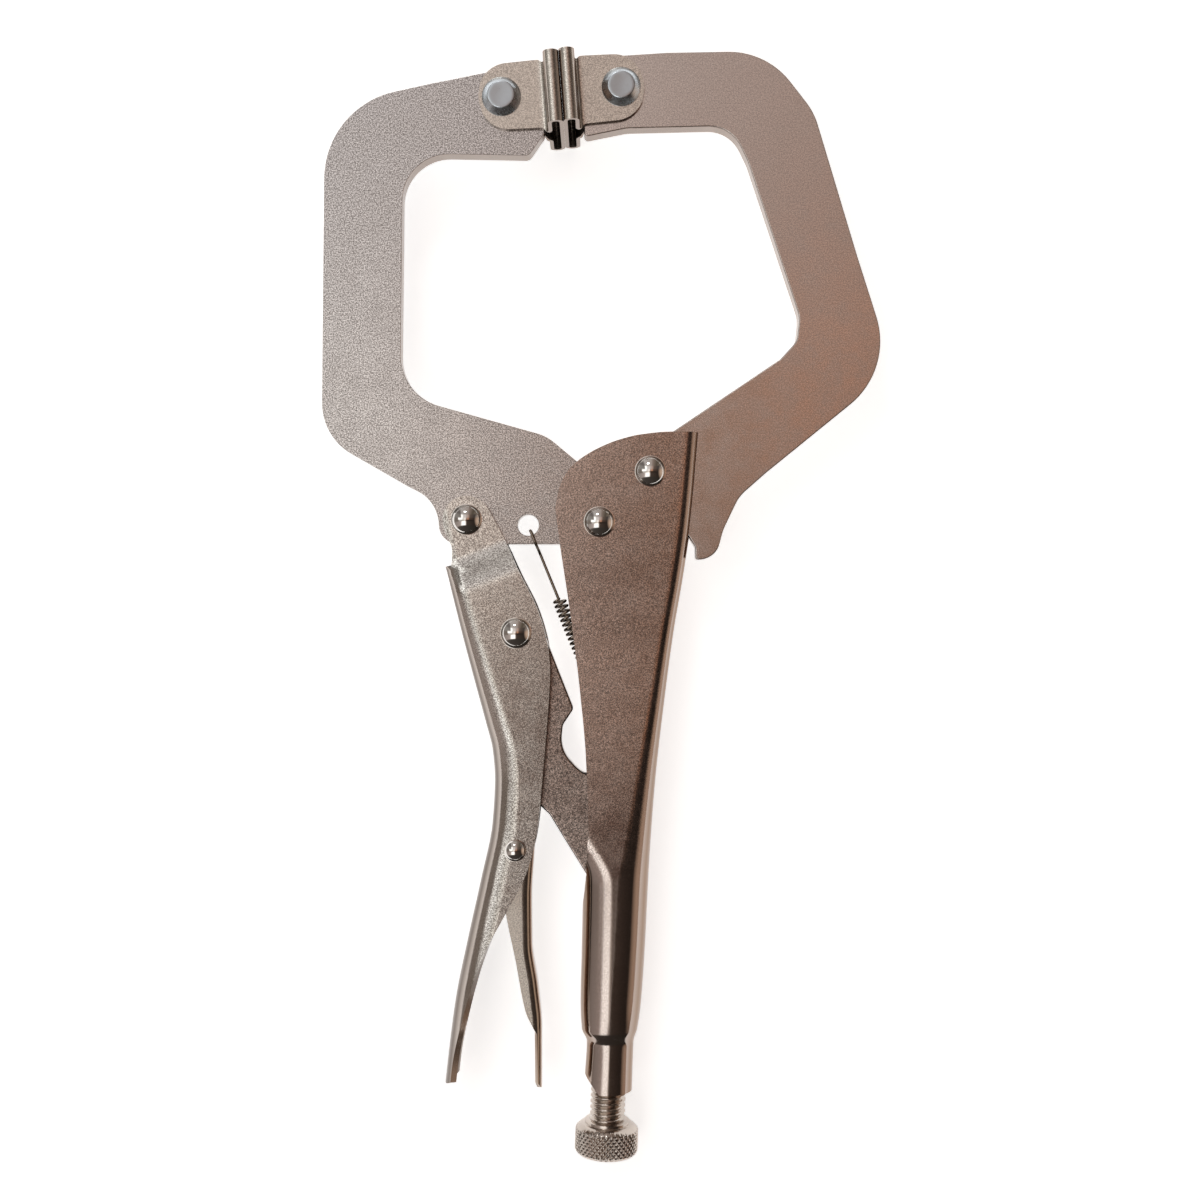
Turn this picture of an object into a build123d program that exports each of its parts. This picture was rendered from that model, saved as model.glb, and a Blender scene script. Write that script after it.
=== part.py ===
from build123d import *
from math import cos, radians, sin
import os

# Locking C-clamp pliers with swivel pads, lying flat: +X across the throat,
# +Y towards the pads, +Z through the thickness. Everything is drawn with the
# jaw pivot at (0, 0, 0), and main() moves it so that the origin is the centre
# of the underside of the closed tool. All sizes are in millimetres.

# ---- plates and sheets ----
JAW_PLATE = 5.0        # thickness of the two jaws
LINK_PLATE = 4.0       # thickness of the toggle link
HANDLE_SHEET = 2.0     # sheet of the fixed handle
LEVER_SHEET = 1.8      # sheet of the moving handle
RELEASE_SHEET = 1.2    # sheet of the release lever
PAD_SHEET = 1.0        # sheet of the swivel pads

# ---- clearances ----
SIDE_GAP = 0.10        # plate to cheek, each side
PIN_GAP = 0.06         # turning bore to rivet shank, on the radius
ARC_GAP = 0.5          # moving jaw's eye to the fixed jaw's hollow
SCREW_GAP = 0.15       # screw to the neck's bore, on the radius
FOOT_GAP = 3.2         # link foot to the end of the screw
HEAD_LIFT = 0.05       # rivet head above a cheek's slight crown

# ---- pivots, from the jaw pivot at (0, 0) ----
HANDLE_PIVOT = (-34.0, 0.6)
LINK_PIVOT = (-21.2, -28.4)
LEVER_PIVOT = (-21.4, -83.7)
JAW_RIVET = (13.05, 13.0)
SPRING_HOLE = (-18.3, -0.7)
SPRING_ANCHOR = (1.7, -49.7)
LINK_FOOT = (4.2, -97.0)

# ---- overall shape of the throat ----
REACH = 109.1          # height of the moving pad's rivet above the jaw pivot
LEFT_SIDE = -71.2      # outer edge of the moving jaw
RIGHT_SIDE = 72.4      # outer edge of the fixed jaw
ARM = 20.3             # width of the jaw plates
LEFT_PAD_RIVET = (-25.1, REACH)
PAD_STEP = 0.2         # fixed pad's rivet above the moving pad's, along the faces

# ---- rivets ----
SHANK = 3.0            # shank radius of the domed rivets
DOME = 3.95            # head radius
DOME_HEIGHT = 2.4
SMALL_SHANK = 2.0      # release lever rivet
SMALL_DOME = 2.8
SMALL_DOME_HEIGHT = 1.7
PAD_SHANK = 3.0
PAD_HEAD = 5.0
PAD_HEAD_TOP = 3.4
PAD_HEAD_HEIGHT = 2.0

# ---- eyes round the pivots ----
PIVOT_EYE = 10.5       # moving jaw round the jaw pivot
HANDLE_EYE = 7.3       # moving jaw round the handle pivot
EAR_EYE = 5.9          # ear of the moving handle
SPRING_HOLE_RADIUS = 2.75

# ---- swivel pads ----
PAD_WIDTH = 25.4       # along Z
PAD_HEIGHT = 18.0      # along Y
PAD_FOLD_GAP = 2.0     # space between pad face and flange
PAD_RIVET_BACK = 15.4  # rivet centre behind the pad face
PAD_EAR_PAST = 5.9     # ear beyond the rivet centre
PAD_DROP = 1.0         # middle of the pad face below the rivet centre
PAD_EAR_CORNER = 7.5
PAD_LEAN = 4.3         # degrees, tops of the pads lean to -X
TIP_BACK = 4.9         # jaw tip behind the pad face
PAD_TOUCH = 0.02       # gap between the two pad faces when closed

# ---- fixed handle: tube, neck and screw ----
TUBE_END = -130.5      # bottom of the full tube
NECK_TOP = -134.0
NECK_END = -146.4
SCREW_RADIUS = 4.6
NECK_RADIUS = SCREW_RADIUS + 1.5
SCREW_TILT = 2.15      # degrees from -Y
KNOB_RADIUS = 8.15
KNOB_HEIGHT = 8.0
KNOB_END = 66.1        # knob's end face from the link foot, along the screw
KNOB_CHAMFER = 1.2
KNOB_SHOULDER = 1.0
SEAM = 1.2             # gap of the rolled tube's seam
CHANNEL_END = -87.0    # where the open channel closes into the tube

# ---- moving handle and release lever ----
HANDLE_TIP = -144.0
CHANNEL_HALF = 6.7     # half width of the moving handle outside
JOGGLE = -10.0         # height of the step between ears and channel
LEVER_TIP = -145.6
LEVER_HALF = 4.2       # half width of the release lever outside

# ---- return spring ----
WIRE = 0.75            # wire diameter
COIL = 3.7             # coil diameter outside
COIL_START = 20.5      # coil's first turn from the spring hole, along the spring
COIL_LENGTH = 27.0

HALF_JAW = JAW_PLATE / 2
CHEEK_IN = HALF_JAW + SIDE_GAP
CHEEK_OUT = CHEEK_IN + HANDLE_SHEET
EAR_OUT = CHEEK_IN + LEVER_SHEET
FAR = 60.0             # larger than any half thickness or cut


def face_from(corners):
    """Closed outline from (x, y, corner radius) rows."""
    points = [(x, y) for x, y, radius in corners]
    radii = [radius for x, y, radius in corners]
    return make_face(FilletPolyline(*points, radius=radii, close=True))


def slab(face, half):
    """Plate of a face, as thick above Z = 0 as below it."""
    return extrude(face, amount=half, both=True)


def disc(centre, radius, half):
    return Pos(centre[0], centre[1], 0) * Cylinder(radius, 2 * half)


def single(shape):
    """The one solid of a shape."""
    solids = shape.solids()
    if len(solids) != 1:
        raise ValueError(f"expected one solid, found {len(solids)}")
    return solids[0]


def section(y, left, right, half, corner):
    """Rounded rectangle in the plane at y, from left to right and half thick."""
    plane = Plane(origin=(0, y, 0), x_dir=(1, 0, 0), z_dir=(0, -1, 0))
    shape = RectangleRounded(right - left, 2 * half, corner)
    return plane * Pos((left + right) / 2, 0) * shape


def folded_skin(stations, sheet, ruled=False):
    """Tube of sheet metal through (y, left, right, half, corner) stations."""
    outer = loft([section(*row) for row in stations], ruled=ruled)
    inner_rows = [
        (y, left + sheet, right - sheet, half - sheet, corner - sheet)
        for y, left, right, half, corner in stations
    ]
    return outer - loft([section(*row) for row in inner_rows], ruled=ruled)


def dome(radius, height):
    """Spherical cap standing on Z = 0."""
    ball = (radius ** 2 + height ** 2) / (2 * height)
    cap = Pos(0, 0, height - ball) * Sphere(ball)
    return cap & Pos(0, 0, FAR / 2) * Box(FAR, FAR, FAR)


def domed_rivet(centre, shank, seat, radius, height):
    """Shank between two seats, with a domed head on each."""
    seat += HEAD_LIFT
    head = Pos(0, 0, seat) * dome(radius, height)
    rivet = Cylinder(shank, 2 * seat) + head + Rot(180, 0, 0) * head
    return single(Pos(centre[0], centre[1], 0) * rivet)


def flat_rivet(centre, seat):
    """Pad rivet with two flat, chamfered heads."""
    head = Cone(PAD_HEAD, PAD_HEAD_TOP, PAD_HEAD_HEIGHT)
    head = Pos(0, 0, seat + PAD_HEAD_HEIGHT / 2) * head
    rivet = Cylinder(PAD_SHANK, 2 * seat) + head + Rot(180, 0, 0) * head
    return single(Pos(centre[0], centre[1], 0) * rivet)


def pad_frames():
    """Frames on the two pad rivets: local X runs back from the pad face."""
    lean = radians(PAD_LEAN)
    moving = Vector(LEFT_PAD_RIVET[0], LEFT_PAD_RIVET[1], 0)
    across = Vector(cos(lean), sin(lean), 0)
    fixed = moving + across * (2 * PAD_RIVET_BACK + PAD_TOUCH)
    fixed += Vector(-sin(lean), cos(lean), 0) * PAD_STEP
    return moving, fixed


def swivel_pad(centre, side):
    """Bent-sheet pad: face, two folded flanges and two ears round the jaw.

    side is +1 where the pad face looks to +X and -1 where it looks to -X.
    """
    half_width = PAD_WIDTH / 2
    bend = PAD_SHEET + PAD_FOLD_GAP / 2
    flange = PAD_SHEET + PAD_FOLD_GAP
    ear_in = CHEEK_IN
    ear_out = ear_in + PAD_SHEET
    back = PAD_RIVET_BACK + PAD_EAR_PAST
    straight = half_width - bend
    plane = Plane(origin=(0, 0, 0), x_dir=(1, 0, 0), z_dir=(0, -1, 0))
    outline = Pos(PAD_SHEET / 2, 0) * Rectangle(PAD_SHEET, 2 * straight)
    for way in (1, -1):
        ring = Circle(bend) - Circle(PAD_FOLD_GAP / 2)
        ring &= Pos(0, way * bend) * Rectangle(4 * bend, 2 * bend)
        outline += Pos(bend, way * straight) * ring
        run = straight - ear_in
        outline += Pos(flange + PAD_SHEET / 2, way * (ear_in + run / 2)) * Rectangle(PAD_SHEET, run)
        leg = back - flange
        outline += Pos(flange + leg / 2, way * (ear_in + ear_out) / 2) * Rectangle(leg, PAD_SHEET)
    body = extrude(plane * outline, amount=PAD_HEIGHT, both=True)
    low = -PAD_HEIGHT / 2
    step = flange + PAD_SHEET + 0.2
    ears = [
        (-1, low - PAD_DROP, 0),
        (step, low - PAD_DROP, 0),
        (step, low + 0.2, 0),
        (back, low + 0.7, PAD_EAR_CORNER),
        (back, -low - 0.7, PAD_EAR_CORNER),
        (step, -low - 0.1, 0),
        (step, -low - PAD_DROP, 0),
        (-1, -low - PAD_DROP, 0),
    ]
    # local +Y points down on a pad that is turned half round
    body &= slab(face_from([(x, -side * y, radius) for x, y, radius in ears]), half_width + 1)
    body -= Pos(PAD_RIVET_BACK, 0, 0) * Cylinder(PAD_SHANK + PIN_GAP, PAD_WIDTH)
    turn = PAD_LEAN + (180 if side > 0 else 0)
    body = Pos(centre.X, centre.Y, 0) * Rot(0, 0, turn) * Pos(-PAD_RIVET_BACK, 0, 0) * body
    return single(body)


def moving_jaw(pad_centre):
    """Left C-shaped plate, with its eye on the jaw pivot and its tip in the pad."""
    lean = radians(PAD_LEAN)
    tip_x = pad_centre.X + (PAD_RIVET_BACK - TIP_BACK) * cos(lean)
    top = pad_centre.Y + 9.3
    inner = pad_centre.Y - 14.8
    arm_inner = LEFT_SIDE + ARM
    outline = face_from([
        (tip_x - 0.8, top, 1.0),
        (tip_x + 0.5, pad_centre.Y - 9.1, 1.5),
        (tip_x - 3.4, inner, 2.0),
        (arm_inner + 0.4, inner + 0.6, 12.0),
        (arm_inner - 0.3, 32.7, 13.5),
        (-13.6, 22.2, 12.0),
        (2.0, 9.2, 0),
        (2.0, -5.6, 0),
        (-28.0, -5.6, 0),
        (-41.0, -5.6, 5.0),
        (-41.6, 5.4, 10.0),
        (-49.5, 9.4, 12.0),
        (LEFT_SIDE - 0.2, 22.0, 15.0),
        (LEFT_SIDE + 0.6, top - 11.6, 23.0),
        (-42.5, top - 5.4, 30.0),
    ])
    jaw = slab(outline, HALF_JAW) + disc((0, 0), PIVOT_EYE, HALF_JAW)
    jaw += disc(HANDLE_PIVOT, HANDLE_EYE, HALF_JAW)
    for centre, radius in (
        ((0, 0), SHANK + PIN_GAP),
        (HANDLE_PIVOT, SHANK + PIN_GAP),
        (SPRING_HOLE, SPRING_HOLE_RADIUS),
        ((pad_centre.X, pad_centre.Y), PAD_SHANK),
    ):
        jaw -= disc(centre, radius, JAW_PLATE)
    return single(jaw)


def fixed_jaw(pad_centre):
    """Right C-shaped plate, with its heel between the cheeks and a small hook."""
    lean = radians(PAD_LEAN)
    tip_x = pad_centre.X - (PAD_RIVET_BACK - TIP_BACK) * cos(lean)
    top = pad_centre.Y + 9.4
    inner = pad_centre.Y - 10.3
    outline = face_from([
        (tip_x + 0.2, top - 1.6, 1.0),
        (tip_x + 22.0, top - 0.2, 20.0),
        (43.0, top + 0.3, 20.0),
        (55.3, top - 15.5, 18.0),
        (RIGHT_SIDE - 6.0, 68.5, 60.0),
        (RIGHT_SIDE + 3.3, 39.3, 21.0),
        (42.8, 12.6, 8.0),
        (36.0, 6.6, 10.0),
        (31.9, -2.0, 12.0),
        (29.9, -9.6, 5.4),
        (24.8, -9.6, 0.6),
        (24.7, -6.4, 1.2),
        (22.9, -3.4, 0),
        (8.0, -3.4, 0),
        (4.0, 4.0, 0),
        (5.0, 15.0, 1.5),
        (18.7, 23.2, 0),
        (46.6, 42.0, 3.0),
        (50.8, 46.6, 4.0),
        (51.5, 52.8, 8.0),
        (38.2, inner - 8.5, 18.0),
        (33.8, inner + 0.6, 9.0),
        (tip_x + 12.0, inner, 8.0),
        (tip_x + 1.0, inner - 2.2, 1.0),
    ])
    jaw = slab(outline, HALF_JAW) - disc((0, 0), PIVOT_EYE + ARC_GAP, JAW_PLATE)
    jaw -= disc(JAW_RIVET, SHANK, JAW_PLATE)
    jaw -= disc((pad_centre.X, pad_centre.Y), PAD_SHANK, JAW_PLATE)
    return single(jaw)


def screw_frame(distance):
    """Frame on the screw's axis, this far from the link foot, Z towards the knob."""
    tilt = radians(SCREW_TILT)
    way = Vector(-sin(tilt), -cos(tilt), 0)
    origin = Vector(LINK_FOOT[0], LINK_FOOT[1], 0) + way * distance
    return Plane(origin=origin, x_dir=(0, 0, 1), z_dir=way)


def on_screw(shape, start):
    """Shape standing on Z = 0, placed on the screw's axis."""
    return screw_frame(start) * shape


def rod(radius, length):
    return Cylinder(radius, length, align=(Align.CENTER, Align.CENTER, Align.MIN))


def axis_x(y):
    """X of the screw's axis at this height."""
    return LINK_FOOT[0] + (y - LINK_FOOT[1]) * sin(radians(SCREW_TILT))


def fixed_handle_skin():
    """Spine and cheeks, closing into the rolled tube and the neck."""
    upper = CHEEK_OUT
    tube = SCREW_RADIUS + 3.2
    neck = axis_x(NECK_TOP)

    def tube_row(y, left, right, less=0.0):
        """Row of the tube: its sides stand out past the radius by left and right."""
        axis = axis_x(y)
        half = tube - less
        return (y, axis - tube - left, axis + tube + right, half, half - 0.1)

    rows = [
        (34.0, -24.0, 26.6, upper, 3.4),
        (17.0, -24.0, 25.1, upper, 3.4),
        (0.0, -24.0, 23.6, upper, 3.4),
        (-14.0, -23.0, 21.6, upper, 3.4),
        (-28.0, -21.0, 19.2, upper + 0.2, 3.5),
        (-45.0, -17.5, 16.9, upper + 0.9, 4.0),
        (-66.0, -13.5, 14.5, upper + 2.1, 5.2),
        (-80.0, -9.0, 13.4, tube - 0.4, 6.5),
        tube_row(-92.0, 0.89, 0.51),
        tube_row(-110.0, 0.51, 0.29),
        tube_row(-124.0, 0.29, -0.19),
        tube_row(TUBE_END, -0.26, -0.84, 0.7),
        (NECK_TOP, neck - NECK_RADIUS, neck + NECK_RADIUS, NECK_RADIUS, NECK_RADIUS - 0.05),
    ]
    return folded_skin(rows, HANDLE_SHEET)


def fixed_handle():
    """One folded sheet: two cheeks, spine, rolled tube and threaded neck."""
    profile = face_from([
        (25.6, 23.1, 0),
        (13.0, 23.4, 40.0),
        (-6.7, 16.2, 14.0),
        (-11.6, 3.5, 14.0),
        (-8.0, -19.0, 60.0),
        (-3.2, -58.0, 60.0),
        (-2.6, -84.0, 6.0),
        (-4.6, -88.6, 3.0),
        (-6.0, -100.0, 0),
        (-8.0, NECK_TOP, 0),
        (20.0, NECK_TOP, 0),
        (40.0, 23.1, 0),
    ])
    handle = fixed_handle_skin() & slab(profile, FAR)
    neck_length = NECK_TOP - NECK_END
    start = LINK_FOOT[1] - NECK_TOP - 0.3
    handle += on_screw(rod(NECK_RADIUS, neck_length + 0.3), start)
    bore = SCREW_RADIUS + SCREW_GAP
    handle -= on_screw(rod(bore, neck_length + 12), start - 6)
    # slot in the spine for the fixed jaw
    handle -= Pos(FAR / 2 + 16, 23.1 + FAR / 2 - 27.0, 0) * Box(FAR, FAR, 2 * CHEEK_IN)
    # flared mouth of the channel, and the tube's seam below it
    mouth = face_from([
        (CHANNEL_END + 4, -FAR, 0), (CHANNEL_END + 4, FAR, 0), (CHANNEL_END - 1, 5.0, 2.0),
        (CHANNEL_END - 9, 2.6, 4.0), (CHANNEL_END - 14, SEAM / 2, 4.0), (NECK_TOP + 2, SEAM / 2, 0),
        (NECK_TOP + 2, -SEAM / 2, 0), (CHANNEL_END - 14, -SEAM / 2, 4.0),
        (CHANNEL_END - 9, -2.6, 4.0), (CHANNEL_END - 1, -5.0, 2.0),
    ])
    plane = Plane(origin=(0, 0, 0), x_dir=(0, 1, 0), z_dir=(1, 0, 0))
    handle -= Pos(-20, 0, 0) * extrude(plane * mouth, amount=21.0)
    # slanted end of the neck
    slant = Pos(axis_x(NECK_END) - 2.4, NECK_END, 0) * Rot(0, 0, -49.5)
    handle -= slant * Pos(0, -FAR / 2, 0) * Box(FAR, FAR, FAR)
    for centre in ((0, 0), JAW_RIVET):
        handle -= disc(centre, SHANK, FAR)
    hole = WIRE / 2 + 0.4
    hole_at = Pos(SPRING_ANCHOR[0], SPRING_ANCHOR[1], -FAR / 2)
    handle -= hole_at * Cylinder(hole, FAR)
    return single(handle)


def moving_handle():
    """Folded lever: two ears round the jaw, a step, and a channel open to +X."""
    wide = CHANNEL_HALF
    below_step = (JOGGLE - 4.5, -38.8, 10.0, wide, 4.0)
    ears = [
        (14.0, -46.0, 10.0, EAR_OUT, 2.6),
        (JOGGLE + 4.0, -41.2, 10.0, EAR_OUT, 2.6),
        below_step,
    ]
    channel = [
        below_step,
        (-43.0, -31.6, 10.0, wide, 4.2),
        (-66.0, -27.0, 10.0, wide, 4.2),
        (-92.0, -30.6, 10.0, wide + 0.3, 4.4),
        (-123.4, -37.2, 10.0, wide + 1.5, 5.4),
        (HANDLE_TIP - 4, -40.2, 10.0, wide + 2.2, 6.0),
    ]
    skin = folded_skin(ears, LEVER_SHEET, ruled=True) + folded_skin(channel, LEVER_SHEET)
    profile = face_from([
        (-39.9, 6.5, EAR_EYE),
        (-29.0, 6.5, EAR_EYE - 1),
        (-20.3, -13.1, 20.0),
        (-12.0, -31.0, 14.0),
        (-13.0, -52.0, 60.0),
        (-15.6, -81.0, 30.0),
        (-29.0, -109.0, 60.0),
        (-37.8, HANDLE_TIP + 2, 1.0),
        (-37.9, HANDLE_TIP - 1, 0),
        (-60.0, HANDLE_TIP - 1, 0),
        (-60.0, -11.4, 0),
        (-37.5, -11.4, 0.5),
        (-37.5, -7.5, 2.0),
        (-39.9, -2.0, 6.0),
    ])
    handle = skin & slab(profile, FAR)
    # rounded end of the grip, seen along X
    half = wide + 2.4
    tip = face_from([
        (20.0, -half, 0), (20.0, half, 0), (HANDLE_TIP, half, 6.5), (HANDLE_TIP, -half, 6.5),
    ])
    plane = Plane(origin=(-FAR, 0, 0), x_dir=(0, 1, 0), z_dir=(1, 0, 0))
    handle &= extrude(plane * tip, amount=2 * FAR)
    for centre, radius in ((HANDLE_PIVOT, SHANK), (LINK_PIVOT, SHANK), (LEVER_PIVOT, SMALL_SHANK)):
        handle -= disc(centre, radius, FAR)
    return single(handle)


def toggle_link():
    """Plate from the moving handle to the end of the screw."""
    foot_x, foot_y = LINK_FOOT
    outline = face_from([
        (-16.2, -23.6, 4.0),
        (-6.6, -48.0, 1.6),
        (-9.4, -52.2, 3.0),
        (-10.0, -58.5, 8.5),
        (-4.6, -64.6, 8.0),
        (1.6, -66.0, 6.0),
        (7.6, -82.0, 20.0),
        (foot_x + 3.6, foot_y, 3.4),
        (foot_x - 3.6, foot_y, 3.4),
        (-9.3, -81.0, 30.0),
        (-12.8, -75.2, 2.0),
        (-18.0, -70.4, 6.0),
        (-27.6, -34.0, 8.0),
        (-26.0, -23.6, 4.0),
    ])
    link = slab(outline, LINK_PLATE / 2)
    link -= disc(LINK_PIVOT, SHANK + PIN_GAP, FAR)
    return single(link)


def release_lever():
    """Small folded lever with its spine to +X and its nose under the link."""
    rows = [
        (-70.0, -40.0, -15.9, LEVER_HALF, 2.2),
        (-84.3, -40.0, -16.7, LEVER_HALF, 2.2),
        (-96.0, -40.0, -17.4, LEVER_HALF, 2.2),
        (-108.0, -40.0, -17.3, LEVER_HALF, 2.2),
        (-119.0, -40.0, -15.8, LEVER_HALF, 2.2),
        (-130.0, -40.0, -14.8, LEVER_HALF, 2.2),
        (LEVER_TIP - 3, -40.0, -14.8, LEVER_HALF, 2.2),
    ]
    skin = folded_skin(rows, RELEASE_SHEET)
    profile = face_from([
        (-14.0, -77.4, 0),
        (-17.5, -77.4, 3.0),
        (-25.6, -79.2, 4.0),
        (-26.0, -88.0, 6.0),
        (-21.6, -112.0, 30.0),
        (-19.0, -126.0, 8.0),
        (-15.9, -131.5, 0),
        (-16.5, LEVER_TIP - 1, 0),
        (-5.0, LEVER_TIP - 1, 0),
        (-5.0, -77.4, 0),
    ])
    lever = skin & slab(profile, FAR)
    tip = face_from([
        (-60.0, -FAR, 0), (-60.0, FAR, 0), (LEVER_TIP, LEVER_HALF, 3.2), (LEVER_TIP, -LEVER_HALF, 3.2),
    ])
    plane = Plane(origin=(-FAR, 0, 0), x_dir=(0, 1, 0), z_dir=(1, 0, 0))
    lever &= extrude(plane * tip, amount=2 * FAR)
    lever -= disc(LEVER_PIVOT, SMALL_SHANK + PIN_GAP, FAR)
    return single(lever)


def adjusting_screw():
    """Threaded rod with a knurled knob on its outer end."""
    knob_start = KNOB_END - KNOB_HEIGHT
    shaft = rod(SCREW_RADIUS, knob_start - FOOT_GAP)
    shaft = chamfer(shaft.edges().group_by(Axis.Z)[0], 0.8)
    knob = rod(KNOB_RADIUS, KNOB_HEIGHT)
    knob = chamfer(knob.edges().filter_by(GeomType.CIRCLE), KNOB_CHAMFER)
    shoulder = rod(SCREW_RADIUS + 1.2, KNOB_SHOULDER)
    screw = on_screw(shaft, FOOT_GAP) + on_screw(knob, knob_start)
    screw += on_screw(shoulder, knob_start - KNOB_SHOULDER)
    return single(screw)


def return_spring():
    """Extension spring: hook at the jaw, straight wire, coil, end in the rear cheek."""
    start = Vector(SPRING_HOLE[0], SPRING_HOLE[1], 0)
    end = Vector(SPRING_ANCHOR[0], SPRING_ANCHOR[1], 0)
    way = (end - start).normalized()
    wire = WIRE / 2
    low = 7.4
    leg_z = HALF_JAW + 0.35 + wire
    path = FilletPolyline(
        end + Vector(0, 0, -CHEEK_OUT + 0.4),
        end,
        start + way * low,
        start + way * (low - 2.2) + Vector(0, 0, leg_z),
        start + way * 1.6 + Vector(0, 0, leg_z),
        start + way * 1.6 + Vector(0, 0, -leg_z),
        start + way * 4.6 + Vector(0, 0, -leg_z),
        radius=[0.8, 1.5, 1.2, 0.8, 0.8],
    )
    hook_plane = Plane(origin=path @ 0, z_dir=path % 0)
    strand = sweep(hook_plane * Circle(wire), path=path)
    at_coil = start + way * COIL_START
    coil_plane = Plane(origin=at_coil, x_dir=(0, 0, 1), z_dir=way)
    coil = coil_plane * (rod(COIL / 2, COIL_LENGTH) - rod(COIL / 2 - WIRE, COIL_LENGTH))
    for near in (COIL_START, COIL_START + COIL_LENGTH - WIRE):
        cap_plane = Plane(origin=start + way * near, x_dir=(0, 0, 1), z_dir=way)
        coil += cap_plane * rod(COIL / 2, WIRE)
    return single(strand + coil)


def build_parts():
    """Every node, placed with the jaw pivot at the origin."""
    moving_pad_at, fixed_pad_at = pad_frames()
    pad_seat = CHEEK_IN + PAD_SHEET
    lever_seat = CHANNEL_HALF
    return {
        "fixed_handle": fixed_handle(),
        "fixed_jaw": fixed_jaw(fixed_pad_at),
        "fixed_jaw_rivet": domed_rivet(JAW_RIVET, SHANK, CHEEK_OUT, DOME, DOME_HEIGHT),
        "jaw_pivot_rivet": domed_rivet((0, 0), SHANK, CHEEK_OUT, DOME, DOME_HEIGHT),
        "fixed_pad": swivel_pad(fixed_pad_at, -1),
        "fixed_pad_rivet": flat_rivet((fixed_pad_at.X, fixed_pad_at.Y), pad_seat),
        "return_spring": return_spring(),
        "moving_jaw": moving_jaw(moving_pad_at),
        "moving_pad": swivel_pad(moving_pad_at, 1),
        "moving_pad_rivet": flat_rivet((moving_pad_at.X, moving_pad_at.Y), pad_seat),
        "moving_handle": moving_handle(),
        "handle_pivot_rivet": domed_rivet(HANDLE_PIVOT, SHANK, EAR_OUT, DOME, DOME_HEIGHT),
        "toggle_link": toggle_link(),
        "link_pivot_rivet": domed_rivet(LINK_PIVOT, SHANK, lever_seat, DOME, DOME_HEIGHT),
        "release_lever": release_lever(),
        "release_lever_rivet": domed_rivet(
            LEVER_PIVOT, SMALL_SHANK, lever_seat + 0.3, SMALL_DOME, SMALL_DOME_HEIGHT
        ),
        "adjusting_screw": adjusting_screw(),
    }


def seat(parts):
    """Move that puts the origin at the centre of the underside."""
    boxes = [shape.bounding_box() for shape in parts.values()]
    left = min(box.min.X for box in boxes)
    right = max(box.max.X for box in boxes)
    front = min(box.min.Y for box in boxes)
    back = max(box.max.Y for box in boxes)
    low = min(box.min.Z for box in boxes)
    return Vector(-(left + right) / 2, -(front + back) / 2, -low)


def main():
    os.makedirs("parts", exist_ok=True)
    parts = build_parts()
    move = seat(parts)
    print("jaw pivot at", move)
    for name, shape in parts.items():
        export_step(Pos(move.X, move.Y, move.Z) * shape, f"parts/{name}.step")


if __name__ == "__main__":
    main()
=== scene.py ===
"""Locking C-clamp pliers with swivel pads, dressed for a studio view.

Lengths in the tables below are millimetres from the jaw pivot, in the part's
own frame: +X across the throat, +Y towards the pads, +Z up through the plates.
"""
from math import cos, pi, radians, sin

import bmesh
import bpy
import numpy as np
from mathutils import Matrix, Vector


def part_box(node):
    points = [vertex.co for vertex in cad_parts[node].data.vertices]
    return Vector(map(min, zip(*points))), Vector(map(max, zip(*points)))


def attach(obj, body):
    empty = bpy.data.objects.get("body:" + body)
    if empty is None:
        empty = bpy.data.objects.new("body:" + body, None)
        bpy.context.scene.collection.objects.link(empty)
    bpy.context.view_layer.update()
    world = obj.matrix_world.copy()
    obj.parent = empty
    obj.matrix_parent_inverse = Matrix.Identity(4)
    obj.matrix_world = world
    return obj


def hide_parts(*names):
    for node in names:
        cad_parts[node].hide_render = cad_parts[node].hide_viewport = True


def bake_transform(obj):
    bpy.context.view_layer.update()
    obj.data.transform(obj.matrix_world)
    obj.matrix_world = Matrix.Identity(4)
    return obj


bl_info = {
    "name": "Locking C-Clamp Pliers",
    "version": (1, 0, 0),
    "blender": (4, 5, 0),
    "location": "View3D > Sidebar > Pliers",
    "description": "Builds and finishes the parts of locking C-clamp pliers",
    "category": "Object",
}

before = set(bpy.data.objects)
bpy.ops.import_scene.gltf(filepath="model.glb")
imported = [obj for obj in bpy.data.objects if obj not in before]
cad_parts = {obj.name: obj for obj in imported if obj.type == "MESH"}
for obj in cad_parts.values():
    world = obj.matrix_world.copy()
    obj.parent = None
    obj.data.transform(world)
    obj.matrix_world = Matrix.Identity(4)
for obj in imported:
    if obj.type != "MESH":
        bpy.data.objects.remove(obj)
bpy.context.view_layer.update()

MM = 0.001
UP = np.array([0.0, 0.0, 1.0])
# Slack for comparing heights, in millimetres.
TINY = 1e-6


def middle(node):
    """Centre of a node's box, in metres."""
    low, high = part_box(node)
    return (Vector(low) + Vector(high)) / 2


PIVOT = middle("jaw_pivot_rivet")


def from_pivot(node):
    """Centre of a node's box in millimetres from the jaw pivot."""
    return (middle(node) - PIVOT) / MM


# ---- meshes


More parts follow.
